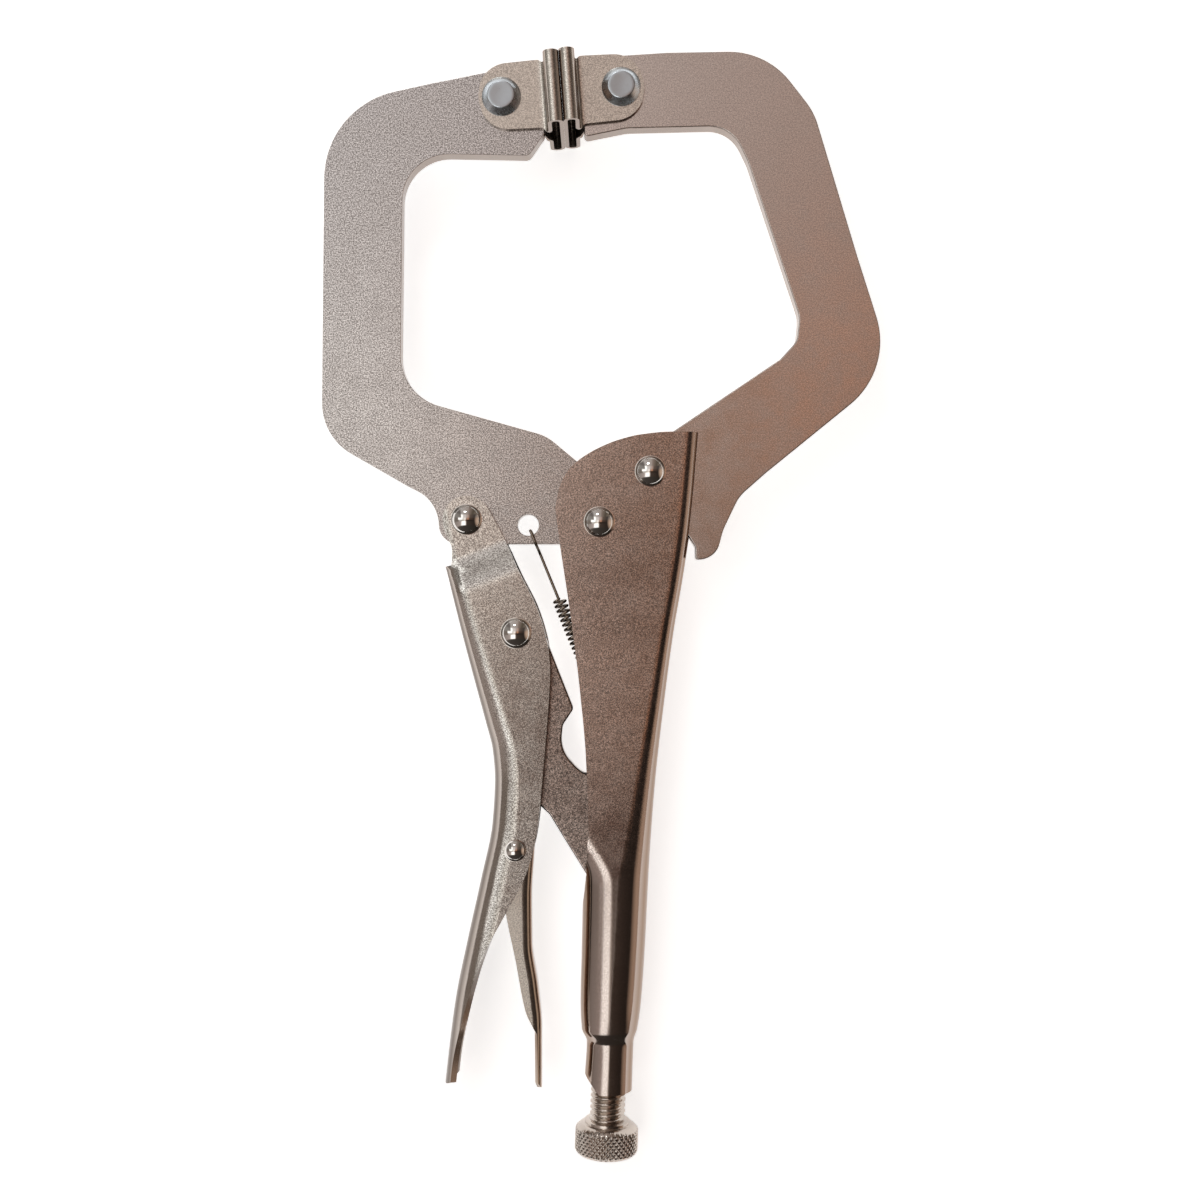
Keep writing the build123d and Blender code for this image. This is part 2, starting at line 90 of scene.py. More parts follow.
def through(at, knots, values):
    """Smooth curve through (knot, value) pairs that never overshoots them.

    A cubic between neighbours, whose slope at each knot is the harmonic mean
    of the two chords that meet there, or level where they turn.
    """
    knots = np.asarray(knots, float)
    values = np.asarray(values, float)
    order = np.argsort(knots)
    knots, values = knots[order], values[order]
    step = np.diff(knots)
    chord = np.diff(values) / step
    slope = np.zeros_like(values)
    product = chord[:-1] * chord[1:]
    safe = np.where(product > 0, chord[:-1] + chord[1:], 1.0)
    slope[1:-1] = np.where(product > 0, 2 * product / safe, 0.0)
    slope[0], slope[-1] = chord[0], chord[-1]
    at = np.clip(at, knots[0], knots[-1])
    place = np.clip(np.searchsorted(knots, at) - 1, 0, len(step) - 1)
    gap = step[place]
    t = (at - knots[place]) / gap
    start, end = values[place], values[place + 1]
    return (
        start * (1 + 2 * t) * (1 - t) ** 2
        + end * t ** 2 * (3 - 2 * t)
        + gap * (slope[place] * t * (1 - t) ** 2 - slope[place + 1] * t ** 2 * (1 - t))
    )


def curves(table, at):
    """Curves through a table's columns, at places given in its first one."""
    return [through(at, table[:, 0], values) for values in table.T[1:]]


def smooth_step(at, low, high):
    """0 below low, 1 above high, and an S-curve between them."""
    t = np.clip((at - low) / (high - low), 0, 1)
    return t * t * (3 - 2 * t)


def grid_faces(rows, columns, round_columns=False):
    """Quads of a rows by columns grid, as an array of corner numbers."""
    row = np.arange(rows - 1)
    column = np.arange(columns if round_columns else columns - 1)
    r, c = np.meshgrid(row, column, indexing="ij")
    r, c = r * columns, np.stack([c, (c + 1) % columns])
    return np.stack([r + c[0], r + c[1], r + columns + c[1], r + columns + c[0]], -1).reshape(-1, 4)


def open_middle(rows, columns, half_width, is_open):
    """Faces of a grid, less those beside its middle column in the open rows."""
    faces = grid_faces(rows, columns)
    row, column = np.divmod(faces[:, 0], columns)
    beside = np.abs(column + 0.5 - columns // 2) < half_width
    return faces[~(beside & is_open[row])]


def add_object(name, data):
    obj = bpy.data.objects.new(name, data)
    bpy.context.scene.collection.objects.link(obj)
    return obj


def new_object(name, points, faces):
    """Mesh object from points in metres and faces, with doubles merged."""
    mesh = bpy.data.meshes.new(name)
    mesh.from_pydata(np.asarray(points).reshape(-1, 3).tolist(), [], [list(f) for f in faces])
    made = bmesh.new()
    made.from_mesh(mesh)
    bmesh.ops.remove_doubles(made, verts=made.verts, dist=1e-6)
    bmesh.ops.dissolve_degenerate(made, edges=made.edges, dist=1e-6)
    if any(edge.is_boundary for edge in made.edges):
        lean = sum(
            f.normal.z * (f.calc_center_median().z - PIVOT.z) * f.calc_area() for f in made.faces
        )
        if lean < 0:
            bmesh.ops.reverse_faces(made, faces=made.faces)
    else:
        bmesh.ops.recalc_face_normals(made, faces=made.faces)
    made.to_mesh(mesh)
    made.free()
    mesh.update()
    return add_object(name, mesh)


def to_metres(x, y, z):
    """Points from coordinate arrays in millimetres from the jaw pivot."""
    return np.stack([x, y, z], -1) * MM + np.array(PIVOT)


def smooth(obj, angle):
    """Smooth shading, sharp where faces meet at more than this angle."""
    obj.data.shade_smooth()
    obj.data.set_sharp_from_angle(angle=radians(angle))


def round_edges(obj, width, angle=35.0):
    """Bevel on every sharp edge."""
    bevel = obj.modifiers.new("rounded edges", "BEVEL")
    bevel.width = width * MM
    bevel.segments = 2
    bevel.limit_method = "ANGLE"
    bevel.angle_limit = radians(angle)
    bevel.harden_normals = True
    bevel.miter_outer = "MITER_ARC"


def plate_copy(node, rounding):
    """Merged copy of a plate, with flat faces joined and its edges rounded."""
    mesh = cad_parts[node].data.copy()
    mesh.name = node + "_plate"
    made = bmesh.new()
    made.from_mesh(mesh)
    bmesh.ops.remove_doubles(made, verts=made.verts, dist=2e-6)
    bmesh.ops.dissolve_limit(
        made, angle_limit=radians(0.3), verts=made.verts, edges=made.edges, delimit={"NORMAL"}
    )
    made.to_mesh(mesh)
    made.free()
    mesh.materials.clear()
    obj = add_object(mesh.name, mesh)
    smooth(obj, 35)
    round_edges(obj, rounding)
    return obj


def dress(obj, body, slot, node, finish=None):
    """Finish (named by the slot unless one is given), body, and hiding of the node that a piece
    stands for.
    """
    obj.data.materials.clear()
    obj.data.materials.append(finish_of(finish or slot))
    if body:
        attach(obj, body)
    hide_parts(node)


# ---- folded sheet metal


class Section:
    """Rounded-rectangle section, followed from the middle of its spine.

    Going round from the spine's middle, a point climbs the spine, turns the
    first corner, crosses the cheek, turns the far corner and comes down the
    far wall. Each stretch adds to the depth behind the spine and the height.
    """

    def __init__(self, width, half, corner):
        self.width, self.half, self.corner = width, half, corner
        self.spine = half - corner
        self.turn = pi / 2 * corner
        self.cheek = width - 2 * corner

    def point(self, along):
        """Depth behind the spine and height, this far round the section."""
        climb = np.clip(along, 0, self.spine)
        first = np.clip((along - self.spine) / self.corner, 0, pi / 2)
        done = self.spine + self.turn
        across = np.clip(along - done, 0, self.cheek)
        done = done + self.cheek
        second = np.clip((along - done) / self.corner, 0, pi / 2)
        done = done + self.turn
        down = np.clip(along - done, 0, self.spine)
        depth = self.corner * (1 - np.cos(first)) + across + self.corner * np.sin(second)
        height = climb + self.corner * np.sin(first) - self.corner * (1 - np.cos(second)) - down
        return depth, height

    def to_depth(self, depth):
        """Way round to this depth, on the upper side."""
        near = np.arccos(np.clip(1 - depth / self.corner, -1, 1)) * self.corner + self.spine
        flat = self.spine + self.turn + depth - self.corner
        past = np.clip((depth - (self.width - self.corner)) / self.corner, 0, 1)
        far = self.spine + self.turn + self.cheek + self.corner * np.arcsin(past)
        return np.where(depth < self.corner, near, np.where(past > 0, far, flat))

    def to_height(self, height):
        """Way round to this height, before the cheek."""
        over = np.clip((height - self.spine) / self.corner, 0, 1)
        return np.where(height < self.spine, height, self.spine + self.corner * np.arcsin(over))

    def to_far_height(self, height):
        """Way round to this height, beyond the cheek."""
        return 2 * (self.spine + self.turn) + self.cheek - self.to_height(height)


def wrapped(y, spine, side, shape, stops, counts):
    """Grids of x, y and z for a sheet folded about its spine, a section per row.

    Each row has count columns from one stop to the next, on both sides of the
    spine's middle. x = spine + side * depth and z = -height or +height,
    where the section's point() gives depth and height for each way round.
    """
    columns = []
    for begin, end, count in zip(stops[:-1], stops[1:], counts):
        t = np.linspace(0, 1, count, endpoint=False)
        columns.append(begin[:, None] * (1 - t) + end[:, None] * t)
    along = np.concatenate([*columns, stops[-1][:, None]], axis=1)
    sign = np.repeat([-1.0, 1.0], [along.shape[1] - 1, along.shape[1]])
    along = np.concatenate([along[:, :0:-1], along], axis=1)
    shape = Section(*(v[:, None] for v in (shape.width, shape.half, shape.corner)))
    depth, height = shape.point(along)
    x = spine[:, None] + side * depth
    return x, np.repeat(y[:, None], x.shape[1], axis=1), height * sign


def stations(start, spans):
    """Row heights after start, evenly spaced up to each span's (end, count)."""
    rows = []
    for end, count in spans:
        rows.append(np.linspace(start, end, count)[1:])
        start = end
    return np.concatenate(rows)


def to_tip(tip, length, count):
    """Row heights over this length that crowd together towards the tip."""
    return tip + (length * (1 - np.sin(np.linspace(0, pi / 2, count))))[1:]


def round_tip(shape, y, end, tip, radius):
    """Ends of the rows, drawn in on a circle over the last radius of the tip."""
    near = np.clip((tip + radius - y) / radius, 0, 1)
    cut = shape.half - radius * (1 - np.sqrt(1 - near ** 2))
    return np.where(near > 0, np.minimum(end, shape.to_height(cut)), end)


def folded(node, grids, faces, sheet, rounding, slot, finish=None, offset=-1.0):
    """Piece of folded sheet, dressed for its node, from the grids of its skin.

    Its wall grows inwards at an offset of -1 and both ways at 0.
    """
    obj = new_object(node + "_sheet", to_metres(*grids), faces)
    smooth(obj, 180)
    wall = obj.modifiers.new("sheet", "SOLIDIFY")
    wall.thickness, wall.offset = sheet * MM, offset
    wall.use_even_offset = wall.use_rim = True
    round_edges(obj, rounding, angle=50)
    dress(obj, node, slot, node, finish)


# ---- materials


class Tree:
    """Short way to write the nodes of a material or a world."""

    def __init__(self, owner):
        self.owner = owner
        owner.use_nodes = True
        self.nodes = owner.node_tree.nodes
        self.links = owner.node_tree.links
        coordinates = self.nodes.new("ShaderNodeTexCoord").outputs
        self.place, self.normal = coordinates["Object"], coordinates["Normal"]
        self.direction = coordinates["Generated"]

    def add(self, kind, inputs=(), **settings):
        """Node with settings and its inputs, linked or set."""
        node = self.nodes.new(kind)
        for key, value in settings.items():
            setattr(node, key, value)
        for key, value in dict(inputs).items():
            self.feed(node.inputs[key], value)
        return node

    def feed(self, socket, value):
        if isinstance(value, bpy.types.NodeSocket):
            self.links.new(value, socket)
        else:
            socket.default_value = value

    def noise(self, scale, detail=2.0, rough=0.5):
        inputs = {"Vector": self.place, "Scale": scale, "Detail": detail, "Roughness": rough}
        return self.add("ShaderNodeTexNoise", inputs).outputs["Fac"]

    def math(self, operation, a, b=0.0):
        return self.add("ShaderNodeMath", {0: a, 1: b}, operation=operation).outputs[0]

    def fit(self, value, low, high, to_low=0.0, to_high=1.0, **settings):
        inputs = {
            "Value": value, "From Min": low, "From Max": high, "To Min": to_low, "To Max": to_high,
        }
        return self.add("ShaderNodeMapRange", inputs, **settings).outputs["Result"]

    def blend(self, factor, a, b):
        node = self.add("ShaderNodeMix", {0: factor}, data_type="RGBA")
        self.feed(node.inputs[6], a)
        self.feed(node.inputs[7], b)
        return node.outputs[2]

    def bump(self, height, distance):
        inputs = {"Height": height, "Distance": distance}
        return self.add("ShaderNodeBump", inputs).outputs["Normal"]

    def finish(self, colour, roughness, normal=None, metallic=1.0):
        shader = self.nodes["Principled BSDF"].inputs
        self.feed(shader["Base Color"], colour)
        self.feed(shader["Roughness"], roughness)
        shader["Metallic"].default_value = metallic
        if normal is not None:
            self.feed(shader["Normal"], normal)
        return self.owner


def rgba(colour, gain=1.0):
    return tuple(min(1.0, c * gain) for c in colour[:3]) + (1.0,)


def satin_plate(name, colour, side, rough, grain, bends, speckle, polish_below=None):
    """Nickel over a sand-textured blank: grainy flats, smoother bends, and sides darkened by
    painted shade.

    Two sizes of noise make dark and bright grains as strong as the speckle
    value. They fade where the surface turns away from the flat, and below the
    height polish_below. The bends are as glossy as the bends value, and steep
    walls take the side colour, a painted shade and reflection darker than the flats.
    """
    t = Tree(bpy.data.materials.new(name))
    split = t.add("ShaderNodeSeparateXYZ", {0: t.normal})
    level = t.math("ABSOLUTE", split.outputs["Z"])
    flat = t.fit(level, 0.80, 0.94)
    if polish_below is not None:
        height = t.add("ShaderNodeSeparateXYZ", {0: t.place}).outputs["Y"]
        fade = t.fit(height, polish_below, polish_below + 0.014, 0.25, 1.0)
        flat = t.math("MULTIPLY", flat, fade)
    fine = t.noise(5000.0, 2.0, 0.6)
    coarse = t.noise(2900.0)
    cloud = t.noise(30.0, 4.0, 0.6)
    scuff = t.noise(150.0, 5.0, 0.7)
    grains = t.math("ADD", t.math("MULTIPLY", fine, 0.5), t.math("MULTIPLY", coarse, 0.5))
    dark, light = 1 - 0.70 * speckle, 1 + 0.65 * speckle
    speck = t.blend(t.fit(grains, 0.42, 0.60), rgba(colour, dark), rgba(colour, light))
    # Painted shade and reflection: steep walls and bends take the darker side colour.
    tone = t.blend(t.fit(level, 0.50, 0.80), rgba(side), rgba(colour))
    tone = t.blend(t.math("MULTIPLY", flat, 0.9), tone, speck)
    tone = t.blend(t.fit(cloud, 0.35, 0.75, 0.0, 0.18), tone, rgba(colour, 0.72))
    satin = t.fit(scuff, 0.3, 0.75, rough - 0.05, rough + 0.08)
    gloss = t.fit(scuff, 0.3, 0.75, bends - 0.03, bends + 0.06)
    roughness = t.add("ShaderNodeMix", {0: flat, 2: gloss, 3: satin}).outputs[0]
    relief = t.math("MULTIPLY", grains, t.fit(flat, 0, 1, 0.10, 1.0))
    return t.finish(tone, roughness, t.bump(relief, grain * MM))


def polished(name, colour, rough):
    """Bright plated surface with faint clouding and fine scratches."""
    t = Tree(bpy.data.materials.new(name))
    cloud = t.noise(160.0, 4.0, 0.6)
    fine = t.noise(1800.0, 3.0, 0.6)
    tone = t.blend(t.fit(cloud, 0.35, 0.7), rgba(colour, 0.92), rgba(colour, 1.06))
    roughness = t.fit(fine, 0.3, 0.8, rough, rough + 0.07)
    return t.finish(tone, roughness, t.bump(cloud, 0.006 * MM))


def dull_zinc(name, colour):
    """Flat grey heads, darker and rougher in the middle than on the chamfer."""
    t = Tree(bpy.data.materials.new(name))
    split = t.add("ShaderNodeSeparateXYZ", {0: t.normal})
    flat = t.fit(t.math("ABSOLUTE", split.outputs["Z"]), 0.90, 0.99)
    cloud = t.noise(420.0, 4.0, 0.6)
    tone = t.blend(cloud, rgba(colour, 0.85), rgba(colour, 1.15))
    tone = t.blend(flat, rgba(colour, 1.35), tone)
    rough = t.fit(t.math("ADD", t.math("MULTIPLY", flat, 0.22), cloud), 0.2, 1.0, 0.16, 0.46)
    return t.finish(tone, rough, t.bump(cloud, 0.02 * MM))


def wire_finish(name, colour):
    """Oiled spring wire: dark, glossy and a little streaked."""
    t = Tree(bpy.data.materials.new(name))
    streak = t.noise(900.0)
    tone = t.blend(streak, rgba(colour, 0.75), rgba(colour, 1.25))
    return t.finish(tone, t.fit(streak, 0.2, 0.8, 0.18, 0.34))


FINISHES = {}


def finish_of(name):
    """Material of this finish, made once."""
    if name in FINISHES:
        return FINISHES[name]
    s = bpy.context.scene.pliers_finish
    jaw, handle, grain, speckle = s.jaw_roughness, s.handle_roughness, s.grain, s.speckle
    # edge, fold and shade are painted shade and reflection for steep walls and bends.
    edge, fold, shade, bright = s.edge_shade_colour, s.fold_shade_colour, s.shade_colour, s.bright_colour
    # colour, side (painted shade and reflection on steep walls), rough, grain, bends, speckle and,
    # for the rolled tube, polish_below
    satin = {
        "jaw_steel": (s.jaw_colour, edge, jaw, grain, 0.2, speckle),
        "smooth_jaw_steel": (s.jaw_colour, edge, jaw, grain * 0.5, 0.2, speckle * 0.35),
        "handle_steel": (
            s.handle_colour, fold, handle, grain, 0.10, speckle * 0.8, PIVOT.y + TUBE_TOP * MM,
        ),
        "lever_handle_steel": (s.lever_colour, shade, handle, grain, 0.14, speckle * 0.9),
        "link_steel": (s.handle_colour, edge, jaw, grain, 0.2, speckle),
        "lever_steel": (bright, fold, 0.2, grain * 0.3, 0.12, speckle * 0.3),
        "pad_steel": (bright, edge, 0.26, grain * 0.4, 0.22, speckle * 0.45),
    }
    other = {
        "rivet_polish": (polished, s.rivet_colour, 0.03),
        "rivet_zinc": (dull_zinc, s.zinc_colour),
        "screw_steel": (polished, s.screw_colour, 0.16),
        "spring_wire": (wire_finish, s.wire_colour),
    }
    maker, *values = other[name] if name in other else (satin_plate, *satin[name])
    FINISHES[name] = maker("plated_" + name, *values)
    return FINISHES[name]


# ---- settings


def colour_setting(name, description, default):
    return bpy.props.FloatVectorProperty(
        name=name, description=description, default=default,
        subtype="COLOR", size=3, min=0.0, max=1.0,
    )


def length_setting(name, description, default):
    """Length in millimetres."""
    return bpy.props.FloatProperty(
        name=name, description=description + ", in millimetres", default=default, min=0.0,
    )


def share_setting(name, description, default, highest=1.0):
    return bpy.props.FloatProperty(
        name=name, description=description, default=default,
        min=0.0, soft_max=highest, subtype="FACTOR",
    )


class PliersFinish(bpy.types.PropertyGroup):
    """Colours and gloss of the plated parts, with the painted shade on their steep sides."""

    jaw_colour: colour_setting("Jaw colour", "Nickel on the jaw plates", (0.66, 0.62, 0.59))
    handle_colour: colour_setting("Handle colour", "Nickel on the fixed handle", (0.53, 0.46, 0.42))
    lever_colour: colour_setting("Lever colour", "Nickel on the moving handle", (0.68, 0.62, 0.57))
    bright_colour: colour_setting("Bright colour", "Polished nickel", (0.68, 0.64, 0.58))
    rivet_colour: colour_setting("Rivet colour", "Domed rivet heads", (0.80, 0.78, 0.75))
    zinc_colour: colour_setting("Zinc colour", "Pad rivets", (0.50, 0.55, 0.59))
    screw_colour: colour_setting("Screw colour", "Adjusting screw", (0.56, 0.50, 0.45))
    wire_colour: colour_setting("Wire colour", "Return spring", (0.33, 0.28, 0.23))
    # Edge, fold and shade colours are painted shade and reflection on steep walls and bends; the
    # edge colour also stands for the darker stamped edges.
    edge_shade_colour: colour_setting("Edge colour", "Stamped edges of the plates", (0.30, 0.23, 0.19))
    fold_shade_colour: colour_setting("Fold colour", "Sides of the folded sheets", (0.30, 0.20, 0.14))
    shade_colour: colour_setting("Shade colour", "Sides of the moving handle", (0.17, 0.14, 0.12))
    jaw_roughness: share_setting("Jaw roughness", "Gloss of the flat plates", 0.21)
    handle_roughness: share_setting("Handle roughness", "Gloss of the flat cheeks", 0.17)
    grain: length_setting("Grain", "Depth of the sand texture on flat plates", 0.018)
    speckle: share_setting("Speckle", "Contrast of the sand texture", 1.15, 1.5)


class PliersSheet(bpy.types.PropertyGroup):
    """Sheet thicknesses and edge rounding."""

    handle_sheet: length_setting("Handle sheet", "Wall of the fixed handle", 2.0)
    lever_sheet: length_setting("Lever sheet", "Wall of the moving handle", 1.8)
    release_sheet: length_setting("Release sheet", "Wall of the release lever", 1.2)
    plate_rounding: length_setting("Plate rounding", "Rounded edge of the stamped plates", 0.45)
    sheet_rounding: length_setting("Sheet rounding", "Rounded edge of the folded sheets", 0.4)
    pad_sheet: length_setting("Pad sheet", "Wall of the swivel pads", 1.0)
    pad_fold: length_setting("Pad fold", "Gap between a pad's face and flange", 2.0)
    pad_rounding: length_setting("Pad rounding", "Rounded edge of the swivel pads", 0.25)


class PliersScrew(bpy.types.PropertyGroup):
    """Thread and knurl of the adjusting screw."""

    pitch: length_setting("Pitch", "Distance between thread crests", 1.5)
    thread_depth: length_setting("Thread depth", "Crest to root", 0.75)
    knurl_count: bpy.props.IntProperty(
        name="Knurl count", description="Diamonds round the knob", default=36, min=3,
    )
    knurl_depth: length_setting("Knurl depth", "Depth of the knurled grooves", 0.36)


class PliersSpring(bpy.types.PropertyGroup):
    """Wire and coil of the return spring."""

    wire: length_setting("Wire", "Wire diameter", 0.75)
    coil: length_setting("Coil", "Coil diameter outside", 3.7)
    turns: bpy.props.IntProperty(name="Turns", description="Turns of the coil", default=21, min=1)


class PliersStage(bpy.types.PropertyGroup):
    """Camera, floor and studio light."""

    camera_height: length_setting("Camera height", "Camera above the plates", 389.0)
    focal_length: length_setting("Focal length", "Lens, on a 36 mm wide sensor", 45.1)
    floor_colour: colour_setting("Floor colour", "Pale backdrop", (0.93, 0.925, 0.92))
    key_power: bpy.props.FloatProperty(
        name="Key power", description="Soft box beyond the pads", default=0.55, min=0.0,
        subtype="POWER",
    )


# ---- pieces


class PLIERS_OT_plates(bpy.types.Operator):
    """Both C-shaped jaw plates and the toggle link, with rounded stamped edges"""

    bl_idname = "pliers.plates"
    bl_label = "Plates"

    def execute(self, context):
        rounding = context.scene.pliers_sheet.plate_rounding
        plates = (
            ("moving_jaw", "moving_jaw", "jaw_steel", "jaw_steel"),
            ("fixed_jaw", "fixed_handle", "jaw_steel", "smooth_jaw_steel"),
            ("toggle_link", "toggle_link", "link_steel", "link_steel"),
        )
        for node, body, slot, finish in plates:
            dress(plate_copy(node, rounding), body, slot, node, finish)
        return {"FINISHED"}


# Pads: lean in degrees, then millimetres. BACK and EAR_END run from the face.
PAD_LEAN = 4.3
PAD_BACK = 15.4
PAD_EAR_END = 21.3
PAD_EAR_GAP = 2.6
PAD_EAR_BEND = 1.7
PAD_EAR_TAPER = 0.03
PAD_EAR_INSET = 0.2
PAD_CORNER = 7.5
PAD_HALF = 9.0
PAD_HALF_WIDTH = 12.7
PAD_DROP = 1.0


def rounded_path(corners):
    """Points along straight runs joined by arcs, from (x, z, radius) corners.

    Each arc is a circle that touches both runs, followed by its turning angle.
    """
    corners = np.asarray(corners, float)
    runs = [corners[:1, :2]]
    for before, here, after in zip(corners[:-2], corners[1:-1], corners[2:]):
        go_in = here[:2] - before[:2]
        go_in /= np.linalg.norm(go_in)
        go_out = after[:2] - here[:2]
        go_out /= np.linalg.norm(go_out)
        cross = go_in[0] * go_out[1] - go_in[1] * go_out[0]
        turn = np.arctan2(cross, go_in @ go_out)
        start = here[:2] - go_in * here[2] * abs(np.tan(turn / 2))
        side = np.array([-go_in[1], go_in[0]]) * np.sign(turn)
        angle = np.linspace(0, abs(turn), 8)[:, None]
        runs.append(start + here[2] * (np.sin(angle) * go_in + (1 - np.cos(angle)) * side))
    runs.append(corners[-1:, :2])
    return np.concatenate(runs)


def finer(points, longest):
    """The same path with its long runs divided."""
    gap = np.linalg.norm(np.diff(points, axis=0), axis=1)
    place = np.concatenate([[0], np.cumsum(gap)])
    counts = np.maximum(1, np.ceil(gap / longest)).astype(int)
    share = np.concatenate([np.arange(n) / n for n in counts] + [[0]])
    at = np.repeat(place[:-1], counts) + share[:-1] * np.repeat(gap, counts)
    at = np.append(at, place[-1])
    return np.stack([np.interp(at, place, points[:, k]) for k in range(points.shape[1])], 1)


class PLIERS_OT_pads(bpy.types.Operator):
    """Both folded swivel pads: ear, flange, fold and face, mirrored through the plates"""

    bl_idname = "pliers.pads"
    bl_label = "Swivel pads"

    def execute(self, context):
        s = context.scene.pliers_sheet
        sheet = s.pad_sheet
        flange = 1.5 * sheet + s.pad_fold
        ear_z, side_z = PAD_EAR_GAP + sheet / 2, PAD_HALF_WIDTH - sheet / 2
        turn = (flange - sheet / 2) / 2
        half = finer(rounded_path([
            (PAD_EAR_END, ear_z, 0), (flange, ear_z, PAD_EAR_BEND), (flange, side_z, turn),
            (sheet / 2, side_z, turn), (sheet / 2, 0, 0),
        ]), 0.8)
        path = np.concatenate([half, (half * (1, -1))[-2::-1]])
        x, z = path[:, :1], path[:, 1:]
        share = smooth_step(x, flange + 0.6, flange + 2.0)
        away = np.clip(x - (PAD_EAR_END - PAD_CORNER), 0, PAD_CORNER)
        ear = PAD_HALF - PAD_EAR_INSET - PAD_EAR_TAPER * (x - flange)
        ear = ear - PAD_CORNER + np.sqrt(PAD_CORNER ** 2 - away ** 2)
        top = (PAD_HALF - PAD_DROP) * (1 - share) + ear * share
        low = -(PAD_HALF + PAD_DROP) * (1 - share) - ear * share
        t = np.linspace(0, 1, 25)[None, :]
        up = low * (1 - t) + top * t
        z = np.repeat(z, t.shape[1], axis=1)
        lean = radians(PAD_LEAN)
        for node, side in (("moving_pad", 1), ("fixed_pad", -1)):
            rivet = from_pivot(node + "_rivet")
            back = side * (x - PAD_BACK)
            grids = (
                rivet.x - back * cos(lean) - up * sin(lean),
                rivet.y - back * sin(lean) + up * cos(lean), z,
            )
            folded(
                node, grids, grid_faces(*z.shape), sheet, s.pad_rounding, "pad_steel", offset=0.0,
            )
        return {"FINISHED"}


# Fixed handle: height, spine, far wall, half thickness and corner at each station.
HANDLE_ROWS = np.array([
    (34, 26.6, -24, 4.6, 3.4), (0, 23.6, -24, 4.6, 3.4),
    (-14, 21.6, -23, 4.6, 3.4), (-28, 19.2, -21, 4.8, 3.5),
    (-45, 16.9, -17.5, 5.5, 4), (-66, 14.5, -13.5, 6.7, 5.2),
    (-80, 13.4, -9, 7.4, 6.5), (-92, 12.7, -4.3, 7.8, 7.7),
    (-110, 11.8, -4.6, 7.8, 7.7), (-124, 10.8, -4.9, 7.8, 7.7),
    (-130.5, 9.9, -4.6, 7.1, 7), (-134, 8.91, -3.29, 6.1, 6.05),
    (-146.4, 8.45, -3.75, 6.1, 6.05),
])
# Open edge of the cheeks, and half the gap left between the two edges.
HANDLE_EDGE = np.array([
    (3.5, -11.3), (-4.9, -10.2), (-25.1, -7.2), (-43.7, -4.9), (-60.6, -3.4),
    (-79, -2.8), (-84, -3.3), (-88.6, -4.4), (-100, -6), (-146.4, -8),
])
HANDLE_GAP = np.array([
    (-84, 7.4), (-88, 5.2), (-92, 3.6), (-96, 2.6), (-101, 0.6), (-146.4, 0.6),
])
# Top edge of the cheeks.
HANDLE_TOP = np.array([
    (-11.3, 3.5), (-11, 6), (-10.3, 8.7), (-9, 11.6), (-6.9, 14.4), (-3.6, 17),
    (0.4, 19.2), (4.9, 21), (10.7, 22.4), (18.3, 23.1), (25.6, 23.1),
])
SLOT_HALF = 2.6
SLOT_END = -3.9
CAP_START = 3.5
CAP_TOP = 23.1
TUBE_TOP = -92.0
NECK_START = -134.0
NECK_END = -146.4
# Heights where the rows change their spacing, and their number.
HANDLE_SPANS = (
    (SLOT_END, 8), (-80, 60), (-102, 34), (-127, 16), (-136, 26), (NECK_END, 10),
)
NECK_SLANT = 1.17
NECK_CORNER = -0.1


class PLIERS_OT_fixed_handle(bpy.types.Operator):
    """Fixed handle: cheeks and spine, rolled into a tube and a neck"""

    bl_idname = "pliers.fixed_handle"
    bl_label = "Fixed handle"

    def execute(self, context):
        sheet = context.scene.pliers_sheet
        cap = np.linspace(1, 0, 40)
        y = np.concatenate([
            CAP_START + (CAP_TOP - CAP_START) * cap, stations(CAP_START, HANDLE_SPANS),
        ])
        spine, wall, half, corner = curves(HANDLE_ROWS, y)
        shape = Section(spine - wall, half, corner)
        edge = curves(HANDLE_EDGE, np.minimum(y, CAP_START))[0]
        gap = curves(HANDLE_GAP, y)[0]
        far = np.where(y < HANDLE_GAP[0, 0], shape.to_far_height(gap), np.inf)
        end = np.minimum(shape.to_depth(spine - edge), far)
        slot = shape.to_height(np.full_like(y, SLOT_HALF))
        stops, counts = [np.zeros_like(y), slot, shape.spine + shape.turn, end], (5, 10, 36)
        x, heights, z = wrapped(y, spine, -1, shape, stops, counts)
        top = curves(HANDLE_TOP, x)[0]
        share = np.concatenate([cap, np.zeros(len(y) - len(cap))])[:, None]
        heights = np.where(share > 0, CAP_START + (top - CAP_START) * share, heights)
        low = (y[:, None] - NECK_START) / (NECK_END - NECK_START)
        bottom = NECK_END + NECK_SLANT * np.clip(NECK_CORNER - x, 0, None)
        neck = NECK_START + (bottom - NECK_START) * low
        heights = np.where(y[:, None] < NECK_START, neck, heights)
        faces = open_middle(*x.shape, counts[0], y > SLOT_END + TINY)
        folded(
            "fixed_handle", (x, heights, z), faces, sheet.handle_sheet, sheet.sheet_rounding,
            "handle_steel",
        )
        return {"FINISHED"}


# Moving handle: height, spine, half thickness and corner.
LEVER_ROWS = np.array([
    (14, -44.5, 6.7, 3.6), (-6, -41, 6.7, 3.8),
    (-14.5, -38.8, 6.7, 4.2), (-28.8, -35.3, 6.7, 5),
    (-43, -31.6, 6.7, 5.8), (-52, -29.2, 6.7, 6.2),
    (-58.5, -27.6, 6.7, 6.4), (-66, -27, 6.7, 6.5),
    (-77, -27.6, 6.8, 6.6), (-92, -30.6, 7, 6.8),
    (-106, -33.7, 7.5, 7.1), (-123.4, -37.2, 8.2, 7.6),
    (-148, -40.2, 8.9, 8),
])
